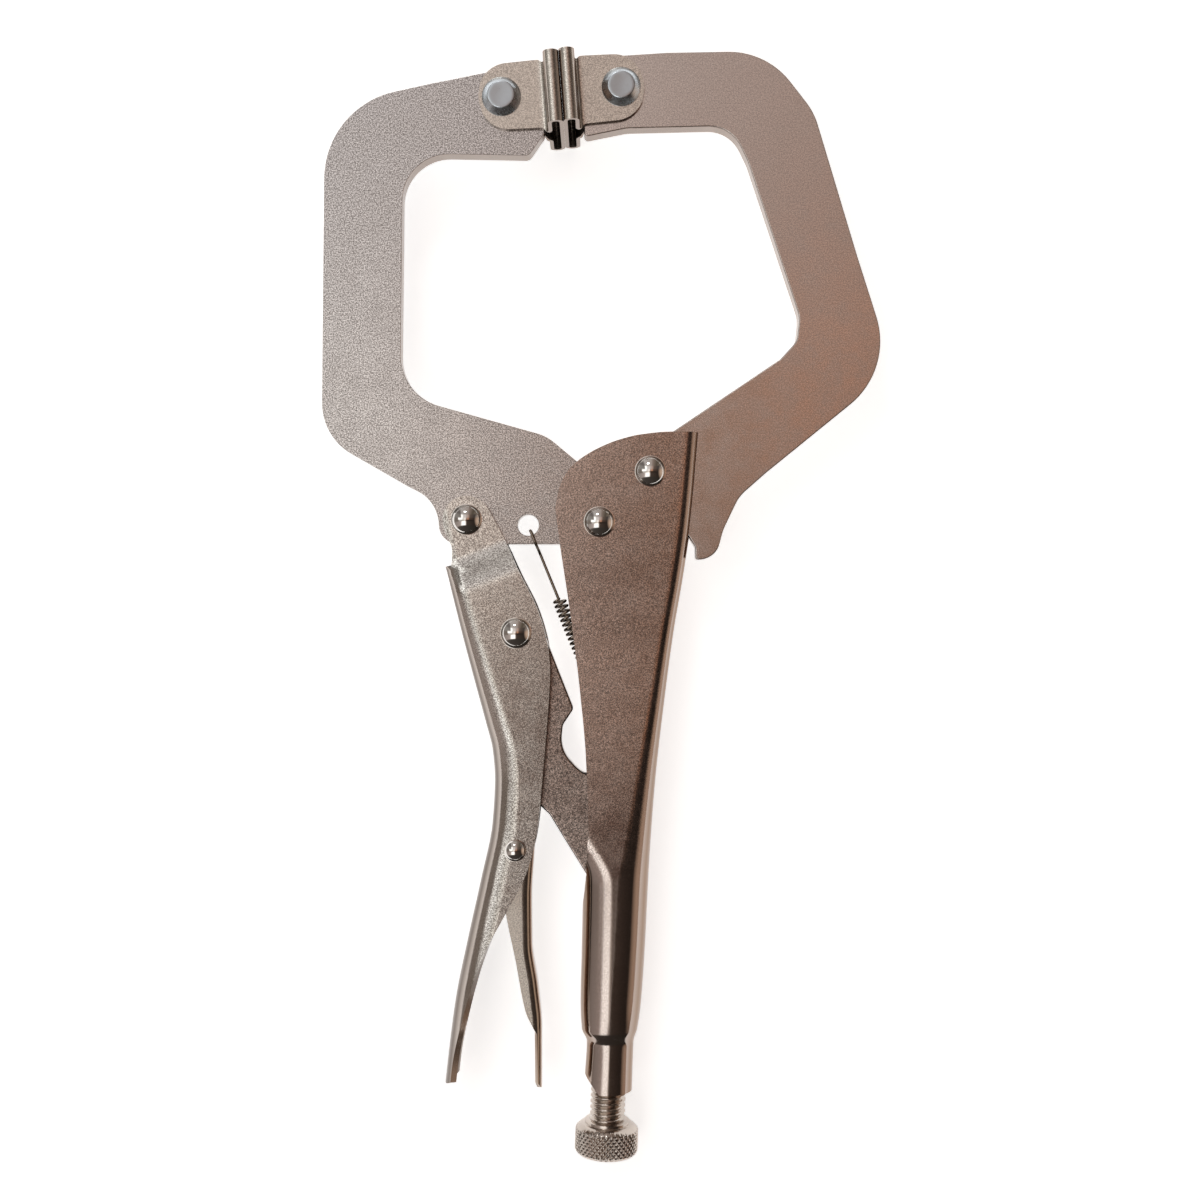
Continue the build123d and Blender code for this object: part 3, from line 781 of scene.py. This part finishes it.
# Open edge of the cheeks, and the outer edge of the ears.
LEVER_EDGE = np.array([
    (3.5, -28.5), (-5.5, -23.7), (-13.1, -20.3), (-21.5, -16.1), (-27.4, -14.1), (-33, -12.9),
    (-38, -12.5), (-45, -12.8), (-52, -13.3), (-62.4, -14.2), (-74.6, -15.3), (-81.2, -16.2),
    (-89.1, -18.4), (-99, -23.4), (-108.7, -28.6), (-117.6, -32.1), (-128, -35.2),
    (-138, -37.4), (-144, -38.1),
])
EAR_EDGE = np.array([
    (0.6, -40.2), (-2.3, -39.6), (-5, -38.3), (-7.1, -37.7), (-9.2, -37.7), (-11.4, -37.9),
    (-20, -38),
])
EAR_RADIUS = 6.1
EAR_HALF = 4.4
SPINE_TOP = -11.4
# Slanted step between ears and grip: slope, where it is measured, and its span.
STEP_SLOPE = 0.39
STEP_X = -30.0
STEP_SPAN = (-16.5, -6.5)
LEVER_TIP = -144.0
TIP_ROUND = 6.5
# Width of a channel whose far side is open.
OPEN = 60.0


class PLIERS_OT_moving_handle(bpy.types.Operator):
    """Moving handle: two ears, a step, and a channel with a flared grip"""

    bl_idname = "pliers.moving_handle"
    bl_label = "Moving handle"

    def execute(self, context):
        sheet = context.scene.pliers_sheet
        eye = from_pivot("handle_pivot_rivet")
        y = np.concatenate([
            eye.y + EAR_RADIUS * np.cos(np.linspace(0, pi / 2, 22)),
            stations(eye.y, ((SPINE_TOP, 26), (-60, 50), (-136, 60))),
            to_tip(LEVER_TIP, 8.0, 20),
        ])
        spine, half, corner = curves(LEVER_ROWS, y)
        shape = Section(np.full_like(y, OPEN), half, corner)
        arc = np.sqrt(np.clip(EAR_RADIUS ** 2 - (y - eye.y) ** 2, 0, None))
        right = curves(LEVER_EDGE, y)[0]
        right = np.where(y > LEVER_EDGE[0, 0], np.minimum(eye.x + arc, right), right)
        left = np.where(y > eye.y, eye.x - arc, curves(EAR_EDGE, y)[0])
        end = round_tip(shape, y, shape.to_depth(right - spine), LEVER_TIP, TIP_ROUND)
        bend = np.minimum(shape.spine + shape.turn, 0.75 * end)
        bend = np.where(y > SPINE_TOP - TINY, shape.to_depth(left - spine), bend)
        stops, counts = [np.zeros_like(y), np.minimum(bend, end), end], (18, 26)
        x, heights, z = wrapped(y, spine, 1, shape, stops, counts)
        step = heights - STEP_SLOPE * (x - STEP_X)
        narrow = smooth_step(step, *STEP_SPAN) * (1 - EAR_HALF / half[:, None])
        faces = open_middle(*x.shape, counts[0], y > SPINE_TOP + TINY)
        folded(
            "moving_handle", (x, heights, z * (1 - narrow)), faces, sheet.lever_sheet,
            sheet.sheet_rounding, "handle_steel", "lever_handle_steel",
        )
        return {"FINISHED"}


# Release lever: spine and open edge at each height.
RELEASE_ROWS = np.array([
    (-70, -15.9), (-84.3, -16.7), (-96, -17.4), (-108, -17.3), (-119, -15.8),
    (-130, -14.8), (-148, -14.8),
])
RELEASE_EDGE = np.array([
    (-77.6, -18.5), (-79, -23.6), (-81.5, -25.6), (-88, -25.6), (-101, -23.8),
    (-113.1, -21.3), (-122, -19.7), (-126, -18.7), (-129.5, -17), (-131.5, -16),
    (-148, -15.7),
])
RELEASE_TOP = -77.6
RELEASE_TIP = -145.6
RELEASE_ROUND = 3.2
RELEASE_HALF = 4.2
RELEASE_CORNER = 2.2
RELEASE_SPANS = ((-82, 10), (-126, 40), (-133, 16), (RELEASE_TIP + RELEASE_ROUND, 8))


class PLIERS_OT_release_lever(bpy.types.Operator):
    """Release lever: a narrow channel with a flat tail"""

    bl_idname = "pliers.release_lever"
    bl_label = "Release lever"

    def execute(self, context):
        sheet = context.scene.pliers_sheet
        y = np.concatenate([
            [RELEASE_TOP], stations(RELEASE_TOP, RELEASE_SPANS),
            to_tip(RELEASE_TIP, RELEASE_ROUND, 10),
        ])
        spine, edge = curves(RELEASE_ROWS, y)[0], curves(RELEASE_EDGE, y)[0]
        shape = Section(*(np.full_like(y, v) for v in (OPEN, RELEASE_HALF, RELEASE_CORNER)))
        end = round_tip(shape, y, shape.to_depth(spine - edge), RELEASE_TIP, RELEASE_ROUND)
        bend = np.minimum(shape.spine + shape.turn, 0.75 * end)
        grids = wrapped(y, spine, -1, shape, [np.zeros_like(y), bend, end], (12, 14))
        folded(
            "release_lever", grids, grid_faces(*grids[0].shape), sheet.release_sheet,
            sheet.sheet_rounding * 0.6, "lever_steel",
        )
        return {"FINISHED"}


def head_size(node):
    """Radius and half height of a rivet, in millimetres."""
    low, high = (Vector(corner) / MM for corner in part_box(node))
    return (high.x - low.x) / 2, (high.z - low.z) / 2


def turn_rivet(node, body, profile, segments, sharp, slot):
    """Rivet from the (radius, height) profile of its top head, mirrored below.

    x = r cos a and y = r sin a, round a line along Z through the rivet.
    """
    profile = np.asarray(profile, float)
    profile = np.concatenate([profile, profile[::-1] * (1, -1)])
    angle = np.linspace(0, 2 * pi, segments, endpoint=False)[None, :]
    centre = from_pivot(node)
    x = centre.x + profile[:, :1] * np.cos(angle)
    y = centre.y + profile[:, :1] * np.sin(angle)
    z = np.repeat(profile[:, 1:], segments, axis=1) + centre.z
    obj = new_object(node + "_head", to_metres(x, y, z), grid_faces(*x.shape, round_columns=True))
    smooth(obj, sharp)
    dress(obj, body, slot, node)


class PLIERS_OT_rivets(bpy.types.Operator):
    """Five domed rivets, and two flat, chamfered pad rivets"""

    bl_idname = "pliers.rivets"
    bl_label = "Rivets"

    def execute(self, context):
        domed = {
            "jaw_pivot_rivet": "fixed_handle", "fixed_jaw_rivet": "fixed_handle",
            "handle_pivot_rivet": "moving_jaw", "link_pivot_rivet": "moving_handle",
            "release_lever_rivet": "moving_handle",
        }
        for node, body in domed.items():
            radius, top = head_size(node)
            rise = radius * 0.6
            ball = (radius ** 2 + rise ** 2) / (2 * rise)
            tilt = np.linspace(0, np.arcsin((radius - 0.12) / ball), 26)
            dome = np.stack([ball * np.sin(tilt), top - ball * (1 - np.cos(tilt))], 1)
            foot, shank = top - rise - 0.02, radius * 0.7
            lip = [(radius, foot + 0.22), (radius, foot), (shank, foot - 0.02), (shank, 0)]
            turn_rivet(node, body, np.concatenate([dome, lip]), 64, 50, "rivet_polish")
        for node, body in (("moving_pad_rivet", "moving_jaw"), ("fixed_pad_rivet", "fixed_handle")):
            radius, top = head_size(node)
            profile = [
                (0, top - 0.10), (1.2, top - 0.08), (2.6, top - 0.02), (3.2, top),
                (3.4, top - 0.05), (3.52, top - 0.14), (radius - 0.12, top - 1.62),
                (radius, top - 1.78), (radius, top - 1.98), (radius - 0.2, top - 2.0),
                (3.0, top - 2.0), (3.0, 0),
            ]
            turn_rivet(node, body, profile, 72, 25, "rivet_zinc")
        return {"FINISHED"}


# Screw: tilt in degrees, then millimetres. AXIS is a point on its centre line.
SCREW_TILT = 2.15
SCREW_AXIS = (4.2, -97.0)
SCREW_RADIUS = 4.6
THREAD_FADE = 0.6
KNOB_CHAMFER = 1.2
KNURL_SLANT = 0.9
KNURL_SHARPNESS = 1.6
KNOB_HEIGHT = 8.0
KNOB_SHOULDER = 1.0


def thread(s, length):
    """Ridge where (l / pitch + a / 2 pi) is a whole number and a half; flat between."""
    start = KNOB_HEIGHT - 0.5
    along = np.linspace(start, length, int((length - start) / s.pitch * 12))
    angle = np.linspace(0, 2 * pi, 40, endpoint=False)
    a, l = np.meshgrid(angle, along)
    phase = (l / s.pitch + a / (2 * pi)) % 1.0
    ridge = np.clip(1.25 - 2.5 * np.abs(phase - 0.5), 0, 1)
    depth = s.thread_depth * np.clip((length - THREAD_FADE - l) / THREAD_FADE, 0, 1)
    depth = depth * np.clip((l - start) / THREAD_FADE, 0, 1)
    radius = SCREW_RADIUS - s.thread_depth + depth * ridge
    radius = np.where((l <= along[0]) | (l >= along[-1]), 0.0, radius)
    return l, radius, a


def knob(s, knob_radius):
    """Chamfered drum; two crossing sets of spiral grooves make the diamonds."""
    shoulder, high = SCREW_RADIUS + 1.2, KNOB_HEIGHT + KNOB_SHOULDER
    outline = np.array([
        (0.0, 0.25), (0.0, knob_radius - 2.6), (0.05, knob_radius - 1.5),
        (0.35, knob_radius - 0.75), (1.0, knob_radius - 0.12), (1.25, knob_radius),
    ])
    top = np.array([
        (KNOB_HEIGHT - 1.5, knob_radius), (KNOB_HEIGHT - 1.1, knob_radius - 0.15),
        (KNOB_HEIGHT - 0.35, knob_radius - 1.0), (KNOB_HEIGHT, knob_radius - 1.9),
        (KNOB_HEIGHT, shoulder + 0.3), (KNOB_HEIGHT + 0.15, shoulder),
        (high - 0.2, shoulder), (high, shoulder - 0.5), (high, 0.2),
    ])
    side = np.linspace(1.25, KNOB_HEIGHT - 1.5, 60)[1:-1]
    band = np.stack([side, np.full_like(side, knob_radius)], 1)
    rows = np.concatenate([outline, band, top])
    angle = np.linspace(0, 2 * pi, s.knurl_count * 10, endpoint=False)
    a, l = np.meshgrid(angle, rows[:, 0])
    radius = np.repeat(rows[:, 1:], len(angle), axis=1)
    turn = a * s.knurl_count / (2 * pi)
    climb = l / (2 * pi * knob_radius / s.knurl_count) * KNURL_SLANT
    first = np.abs(((turn + climb) % 1.0) - 0.5) * 2
    second = np.abs(((turn - climb) % 1.0) - 0.5) * 2
    groove = 1 - np.clip(np.minimum(first, second) * KNURL_SHARPNESS, 0, 1)
    inside = smooth_step(l, 0.5, 1.3)
    inside = inside * (1 - smooth_step(l, KNOB_HEIGHT - 1.5, KNOB_HEIGHT - 0.8))
    return l, radius - s.knurl_depth * groove * inside, a


class PLIERS_OT_adjusting_screw(bpy.types.Operator):
    """Adjusting screw: rolled thread and a diamond-knurled knob"""

    bl_idname = "pliers.adjusting_screw"
    bl_label = "Adjusting screw"

    def execute(self, context):
        s = context.scene.pliers_screw
        low, high = (Vector(corner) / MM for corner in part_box("adjusting_screw"))
        knob_radius = (high.z - low.z) / 2
        tilt = radians(SCREW_TILT)
        way = np.array([-sin(tilt), -cos(tilt), 0.0])
        across = np.array([cos(tilt), -sin(tilt), 0.0])
        # the knob's flat end reaches the box's lowest Y at its -X corner
        end_y = low.y - PIVOT.y / MM + (knob_radius - KNOB_CHAMFER) * sin(tilt)
        end = np.array([SCREW_AXIS[0] + (end_y - SCREW_AXIS[1]) * np.tan(tilt), end_y, 0.0])
        length = (high.y - low.y) - 0.4
        points, faces, done = [], [], 0
        for grids in (thread(s, length), knob(s, knob_radius)):
            along, radius, angle = (grid[..., None] for grid in grids)
            place = end - along * way + radius * (np.cos(angle) * across + np.sin(angle) * UP)
            points.append((place * MM + np.array(PIVOT)).reshape(-1, 3))
            faces.append(grid_faces(*grids[0].shape, round_columns=True) + done)
            done += along.size
        obj = new_object("adjusting_screw_turned", np.concatenate(points), np.concatenate(faces))
        smooth(obj, 32)
        dress(obj, "adjusting_screw", "screw_steel", "adjusting_screw")
        return {"FINISHED"}


# Spring: its hooks on the jaw and on the handle, then places along it.
JAW_HOOK = (-18.3, -0.7, 0.0)
HANDLE_HOOK = (1.7, -49.7, 0.0)
HOOK_HALF = 3.22
COIL_START = 20.3
COIL_END = 47.4


class PLIERS_OT_return_spring(bpy.types.Operator):
    """Return spring: jaw hook, straight wire, coil and handle hook"""

    bl_idname = "pliers.return_spring"
    bl_label = "Return spring"

    def execute(self, context):
        s = context.scene.pliers_spring
        start, end = np.array(JAW_HOOK), np.array(HANDLE_HOOK)
        way = (end - start) / np.linalg.norm(end - start)
        across = np.array([-way[1], way[0], 0.0])
        leg, wire = HOOK_HALF, s.wire / 2
        hook = np.array([
            (4.6, 0, -leg), (3.4, 0, -leg), (2.2, 0, -leg), (1.6, 0, -leg + 0.5), (1.5, 0, 0),
            (1.6, 0, leg - 0.5), (2.2, 0, leg), (4.2, 0, leg), (5.2, 0, leg - 0.3),
            (7.2, 0, 0.5), (8.6, 0, 0), (12.0, 0, 0), (16.0, 0, 0), (COIL_START - 0.9, 0, 0),
        ])
        turn = np.linspace(0, 1, s.turns * 22)
        radius = (s.coil / 2 - wire) * smooth_step(turn, 0, 0.03) * (1 - smooth_step(turn, 0.97, 1))
        coil = np.stack([
            COIL_START + (COIL_END - COIL_START) * turn,
            radius * np.cos(2 * pi * s.turns * turn), radius * np.sin(2 * pi * s.turns * turn),
        ], 1)
        length = np.linalg.norm(end - start)
        tail = np.array([
            (length - 3.4, 0, 0), (length - 1.2, 0, 0), (length - 0.3, 0, -0.3),
            (length, 0, -1.2), (length, 0, -4.1),
        ])
        local = np.concatenate([dense(hook, 6), coil, dense(tail, 6)])
        centre = start + local[:, :1] * way + local[:, 1:2] * across + local[:, 2:] * UP
        obj = tube("return_spring_wire", centre, wire, 10)
        smooth(obj, 60)
        dress(obj, None, "spring_wire", "return_spring")
        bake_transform(obj)
        return {"FINISHED"}


def dense(points, count):
    """Points of a smooth curve through a few, with count steps between neighbours."""
    knots = np.arange(len(points))
    at = np.linspace(0, len(points) - 1, (len(points) - 1) * count + 1)
    return np.stack([through(at, knots, points[:, k]) for k in range(3)], 1)


def tube(name, centre, radius, sides):
    """Round wire along a path: a ring of points square to the path at each step."""
    ahead = np.gradient(centre, axis=0)
    ahead /= np.linalg.norm(ahead, axis=1)[:, None]
    guide = np.array([0.37, 0.21, 0.9])
    first = np.cross(ahead, guide)
    first /= np.linalg.norm(first, axis=1)[:, None]
    second = np.cross(ahead, first)
    angle = np.linspace(0, 2 * pi, sides, endpoint=False)[None, :, None]
    ring = first[:, None] * np.cos(angle) + second[:, None] * np.sin(angle)
    points = centre[:, None] + ring * radius
    first, last = (np.repeat(end[None], sides, axis=1) for end in (centre[:1], centre[-1:]))
    points = to_metres(*np.moveaxis(np.concatenate([first, points, last]), -1, 0))
    return new_object(name, points, grid_faces(*points.shape[:2], round_columns=True))


# ---- stage


WHITE = (1.65, 1.62, 1.59)
DARK = (0.03, 0.022, 0.018)
# Each ramp: the span of Y over which it takes over, then its stops, X and colour.
SKY = (
    ((-1, -1), (
        (-1, 0.16, 0.13, 0.11), (-0.5, 0.06, 0.05, 0.045), (0.8, 0.03, 0.025, 0.02),
        (1, 0.45, 0.33, 0.26),
    )),
    ((-0.66, -0.54), (
        (-1, 0.3, 0.26, 0.24), (-0.62, 0.48, 0.4, 0.37), (-0.46, *WHITE), (-0.14, *WHITE),
        (-0.07, 0.75, 0.66, 0.6), (0.02, 0.07, 0.05, 0.04), (0.8, *DARK), (0.93, 0.5, 0.35, 0.26),
        (1, 0.62, 0.48, 0.38),
    )),
    ((-0.22, -0.13), (
        (-1, 0.2, 0.17, 0.15), (-0.82, 0.2, 0.16, 0.13), (-0.72, 0.6, 0.56, 0.53),
        (-0.5, 0.5, 0.45, 0.41), (-0.34, 0.68, 0.62, 0.56), (-0.16, 0.98, 0.88, 0.8),
        (-0.06, 0.24, 0.15, 0.12), (0, 0.1, 0.05, 0.04), (0.06, 0.05, 0.03, 0.02), (0.2, *DARK),
        (0.8, *DARK), (0.94, 0.55, 0.38, 0.28), (1, 0.65, 0.5, 0.4),
    )),
    ((-0.07, 0.06), (
        (-1, 0.22, 0.19, 0.17), (-0.86, 0.18, 0.15, 0.13), (-0.8, *WHITE), (-0.52, *WHITE),
        (-0.36, 0.8, 0.76, 0.72), (-0.16, 1.18, 1.12, 1.07), (-0.08, 1.08, 0.92, 0.84),
        (0, 0.4, 0.27, 0.21), (0.07, 0.27, 0.17, 0.12), (0.12, 0.6, 0.32, 0.21),
        (0.2, 0.58, 0.29, 0.18), (0.34, 0.1, 0.06, 0.045), (0.8, 0.04, 0.03, 0.025),
        (0.94, 0.5, 0.34, 0.25), (1, 0.6, 0.46, 0.37),
    )),
    ((0.1, 0.3), (
        (-1, 0.3, 0.28, 0.26), (-0.6, 0.24, 0.22, 0.2), (-0.52, *WHITE), (-0.46, *WHITE),
        (-0.3, 0.72, 0.68, 0.66), (-0.1, 0.8, 0.72, 0.7), (0, 0.58, 0.49, 0.45),
        (0.1, 0.52, 0.41, 0.37), (0.18, 0.54, 0.39, 0.33), (0.4, 0.14, 0.1, 0.08),
        (0.8, 0.06, 0.05, 0.045), (1, 0.5, 0.4, 0.34),
    )),
    ((0.45, 0.62), (
        (-1, 0.2, 0.18, 0.17), (-0.62, 0.16, 0.14, 0.13), (-0.48, 0.5, 0.46, 0.44),
        (0.1, 0.42, 0.36, 0.33), (0.26, 0.26, 0.2, 0.17), (0.6, 0.1, 0.08, 0.06),
        (1, 0.3, 0.24, 0.2),
    )),
)
# Soft box, in metres, and the camera's offset from the jaw pivot.
KEY_PLACE = (-0.16, 0.70, 0.52)
KEY_SIZE = (0.20, 0.12)
CAMERA_ASIDE = (0.18, -19.98)
# Floor, in metres: half its side, gap below the pads, and how far from the
# knob's lowest Y the knob touches it.
FLOOR_HALF = 3.0
FLOOR_GAP = 0.0003
KNOB_TOUCH = 0.004


def add_camera(s):
    data = bpy.data.cameras.new("camera")
    data.sensor_width = 36.0
    data.lens = s.focal_length
    data.clip_start = 0.01
    camera = add_object("camera", data)
    camera.location = PIVOT + Vector((*CAMERA_ASIDE, s.camera_height)) * MM
    bpy.context.scene.camera = camera


def add_floor(s):
    """Plane that the pads' lower edges and the knob rest on."""
    pad_low, pad_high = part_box("moving_pad")
    far, near = Vector(pad_low), Vector(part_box("adjusting_screw")[0])
    pad_y = (pad_low[1] + pad_high[1]) / 2
    rise = (near.z - far.z) / (pad_y - near.y - KNOB_TOUCH)
    ends = ((-1, -1), (1, -1), (1, 1), (-1, 1))
    points = [
        (x * FLOOR_HALF, y * FLOOR_HALF, far.z - FLOOR_GAP + rise * (pad_y - y * FLOOR_HALF))
        for x, y in ends
    ]
    mesh = bpy.data.meshes.new("floor")
    mesh.from_pydata(points, [], [(0, 1, 2, 3)])
    floor = add_object("floor", mesh)
    t = Tree(bpy.data.materials.new("floor_paper"))
    fibre = t.noise(900.0)
    tone = t.blend(fibre, rgba(s.floor_colour, 0.99), rgba(s.floor_colour))
    mesh.materials.append(t.finish(tone, 0.9, metallic=0.0))
    shader = t.nodes["Principled BSDF"].inputs
    shader["Emission Color"].default_value = (1.0, 1.0, 1.0, 1.0)
    shader["Emission Strength"].default_value = 0.70


def add_light(s):
    """Soft oval box beyond the pads, aimed at the middle of the tool."""
    data = bpy.data.lights.new("key", "AREA")
    data.shape = "ELLIPSE"
    data.size, data.size_y = KEY_SIZE
    data.energy = s.key_power
    lamp = add_object("key", data)
    lamp.location = KEY_PLACE
    aim = Vector((0, 0, 0.01)) - Vector(KEY_PLACE)
    lamp.rotation_euler = aim.to_track_quat("-Z", "Y").to_euler()


def add_sky():
    """Room round the tool: colour ramps along X, each taking over at its own Y.

    A pale strip low on the left, brown just right of the middle and dark
    beyond it; dim in front and behind.
    """
    t = Tree(bpy.data.worlds.new("studio"))
    bpy.context.scene.world = t.owner
    split = t.add("ShaderNodeSeparateXYZ", {0: t.direction})
    place = t.fit(split.outputs["X"], -1.0, 1.0)
    colour = None
    for (start, end), stops in SKY:
        ramp = t.add("ShaderNodeValToRGB", {0: place})
        elements = ramp.color_ramp.elements
        elements.remove(elements[1])
        elements[0].position = (stops[0][0] + 1) / 2
        elements[0].color = (*stops[0][1:], 1)
        for x, *shade in stops[1:]:
            elements.new((x + 1) / 2).color = (*shade, 1)
        shades = ramp.outputs["Color"]
        if colour is None:
            colour = shades
            continue
        share = t.fit(split.outputs["Y"], start, end, interpolation_type="SMOOTHSTEP")
        colour = t.blend(share, colour, shades)
    t.links.new(colour, t.nodes["Background"].inputs["Color"])


class PLIERS_OT_stage(bpy.types.Operator):
    """Floor, soft studio light and the camera above the tool"""

    bl_idname = "pliers.stage"
    bl_label = "Stage"

    def execute(self, context):
        s = context.scene.pliers_stage
        add_camera(s)
        add_floor(s)
        add_light(s)
        add_sky()
        view = context.scene.view_settings
        view.view_transform = "Standard"
        view.look = "None"
        return {"FINISHED"}


OPERATORS = (
    PLIERS_OT_plates, PLIERS_OT_pads, PLIERS_OT_fixed_handle, PLIERS_OT_moving_handle,
    PLIERS_OT_release_lever, PLIERS_OT_rivets, PLIERS_OT_adjusting_screw,
    PLIERS_OT_return_spring, PLIERS_OT_stage,
)
GROUPS = {
    "pliers_finish": PliersFinish, "pliers_sheet": PliersSheet, "pliers_screw": PliersScrew,
    "pliers_spring": PliersSpring, "pliers_stage": PliersStage,
}


class PLIERS_PT_panel(bpy.types.Panel):
    """Lists the pieces and their settings"""

    bl_label = "Locking pliers"
    bl_idname = "PLIERS_PT_panel"
    bl_space_type = "VIEW_3D"
    bl_region_type = "UI"
    bl_category = "Pliers"

    def draw(self, context):
        for operator in OPERATORS:
            self.layout.operator(operator.bl_idname)
        for key, group in GROUPS.items():
            box = self.layout.box()
            for field in group.__annotations__:
                box.prop(getattr(context.scene, key), field)


def register():
    for group in GROUPS.values():
        bpy.utils.register_class(group)
    for key, group in GROUPS.items():
        setattr(bpy.types.Scene, key, bpy.props.PointerProperty(type=group))
    for operator in OPERATORS:
        bpy.utils.register_class(operator)
    bpy.utils.register_class(PLIERS_PT_panel)


def unregister():
    bpy.utils.unregister_class(PLIERS_PT_panel)
    for operator in reversed(OPERATORS):
        bpy.utils.unregister_class(operator)
    for key in GROUPS:
        delattr(bpy.types.Scene, key)
    for group in GROUPS.values():
        bpy.utils.unregister_class(group)


def main():
    register()
    bpy.ops.pliers.plates()
    bpy.ops.pliers.pads()
    bpy.ops.pliers.fixed_handle()
    bpy.ops.pliers.moving_handle()
    bpy.ops.pliers.release_lever()
    bpy.ops.pliers.rivets()
    bpy.ops.pliers.adjusting_screw()
    bpy.ops.pliers.return_spring()
    bpy.ops.pliers.stage()


if __name__ == "__main__":
    main()
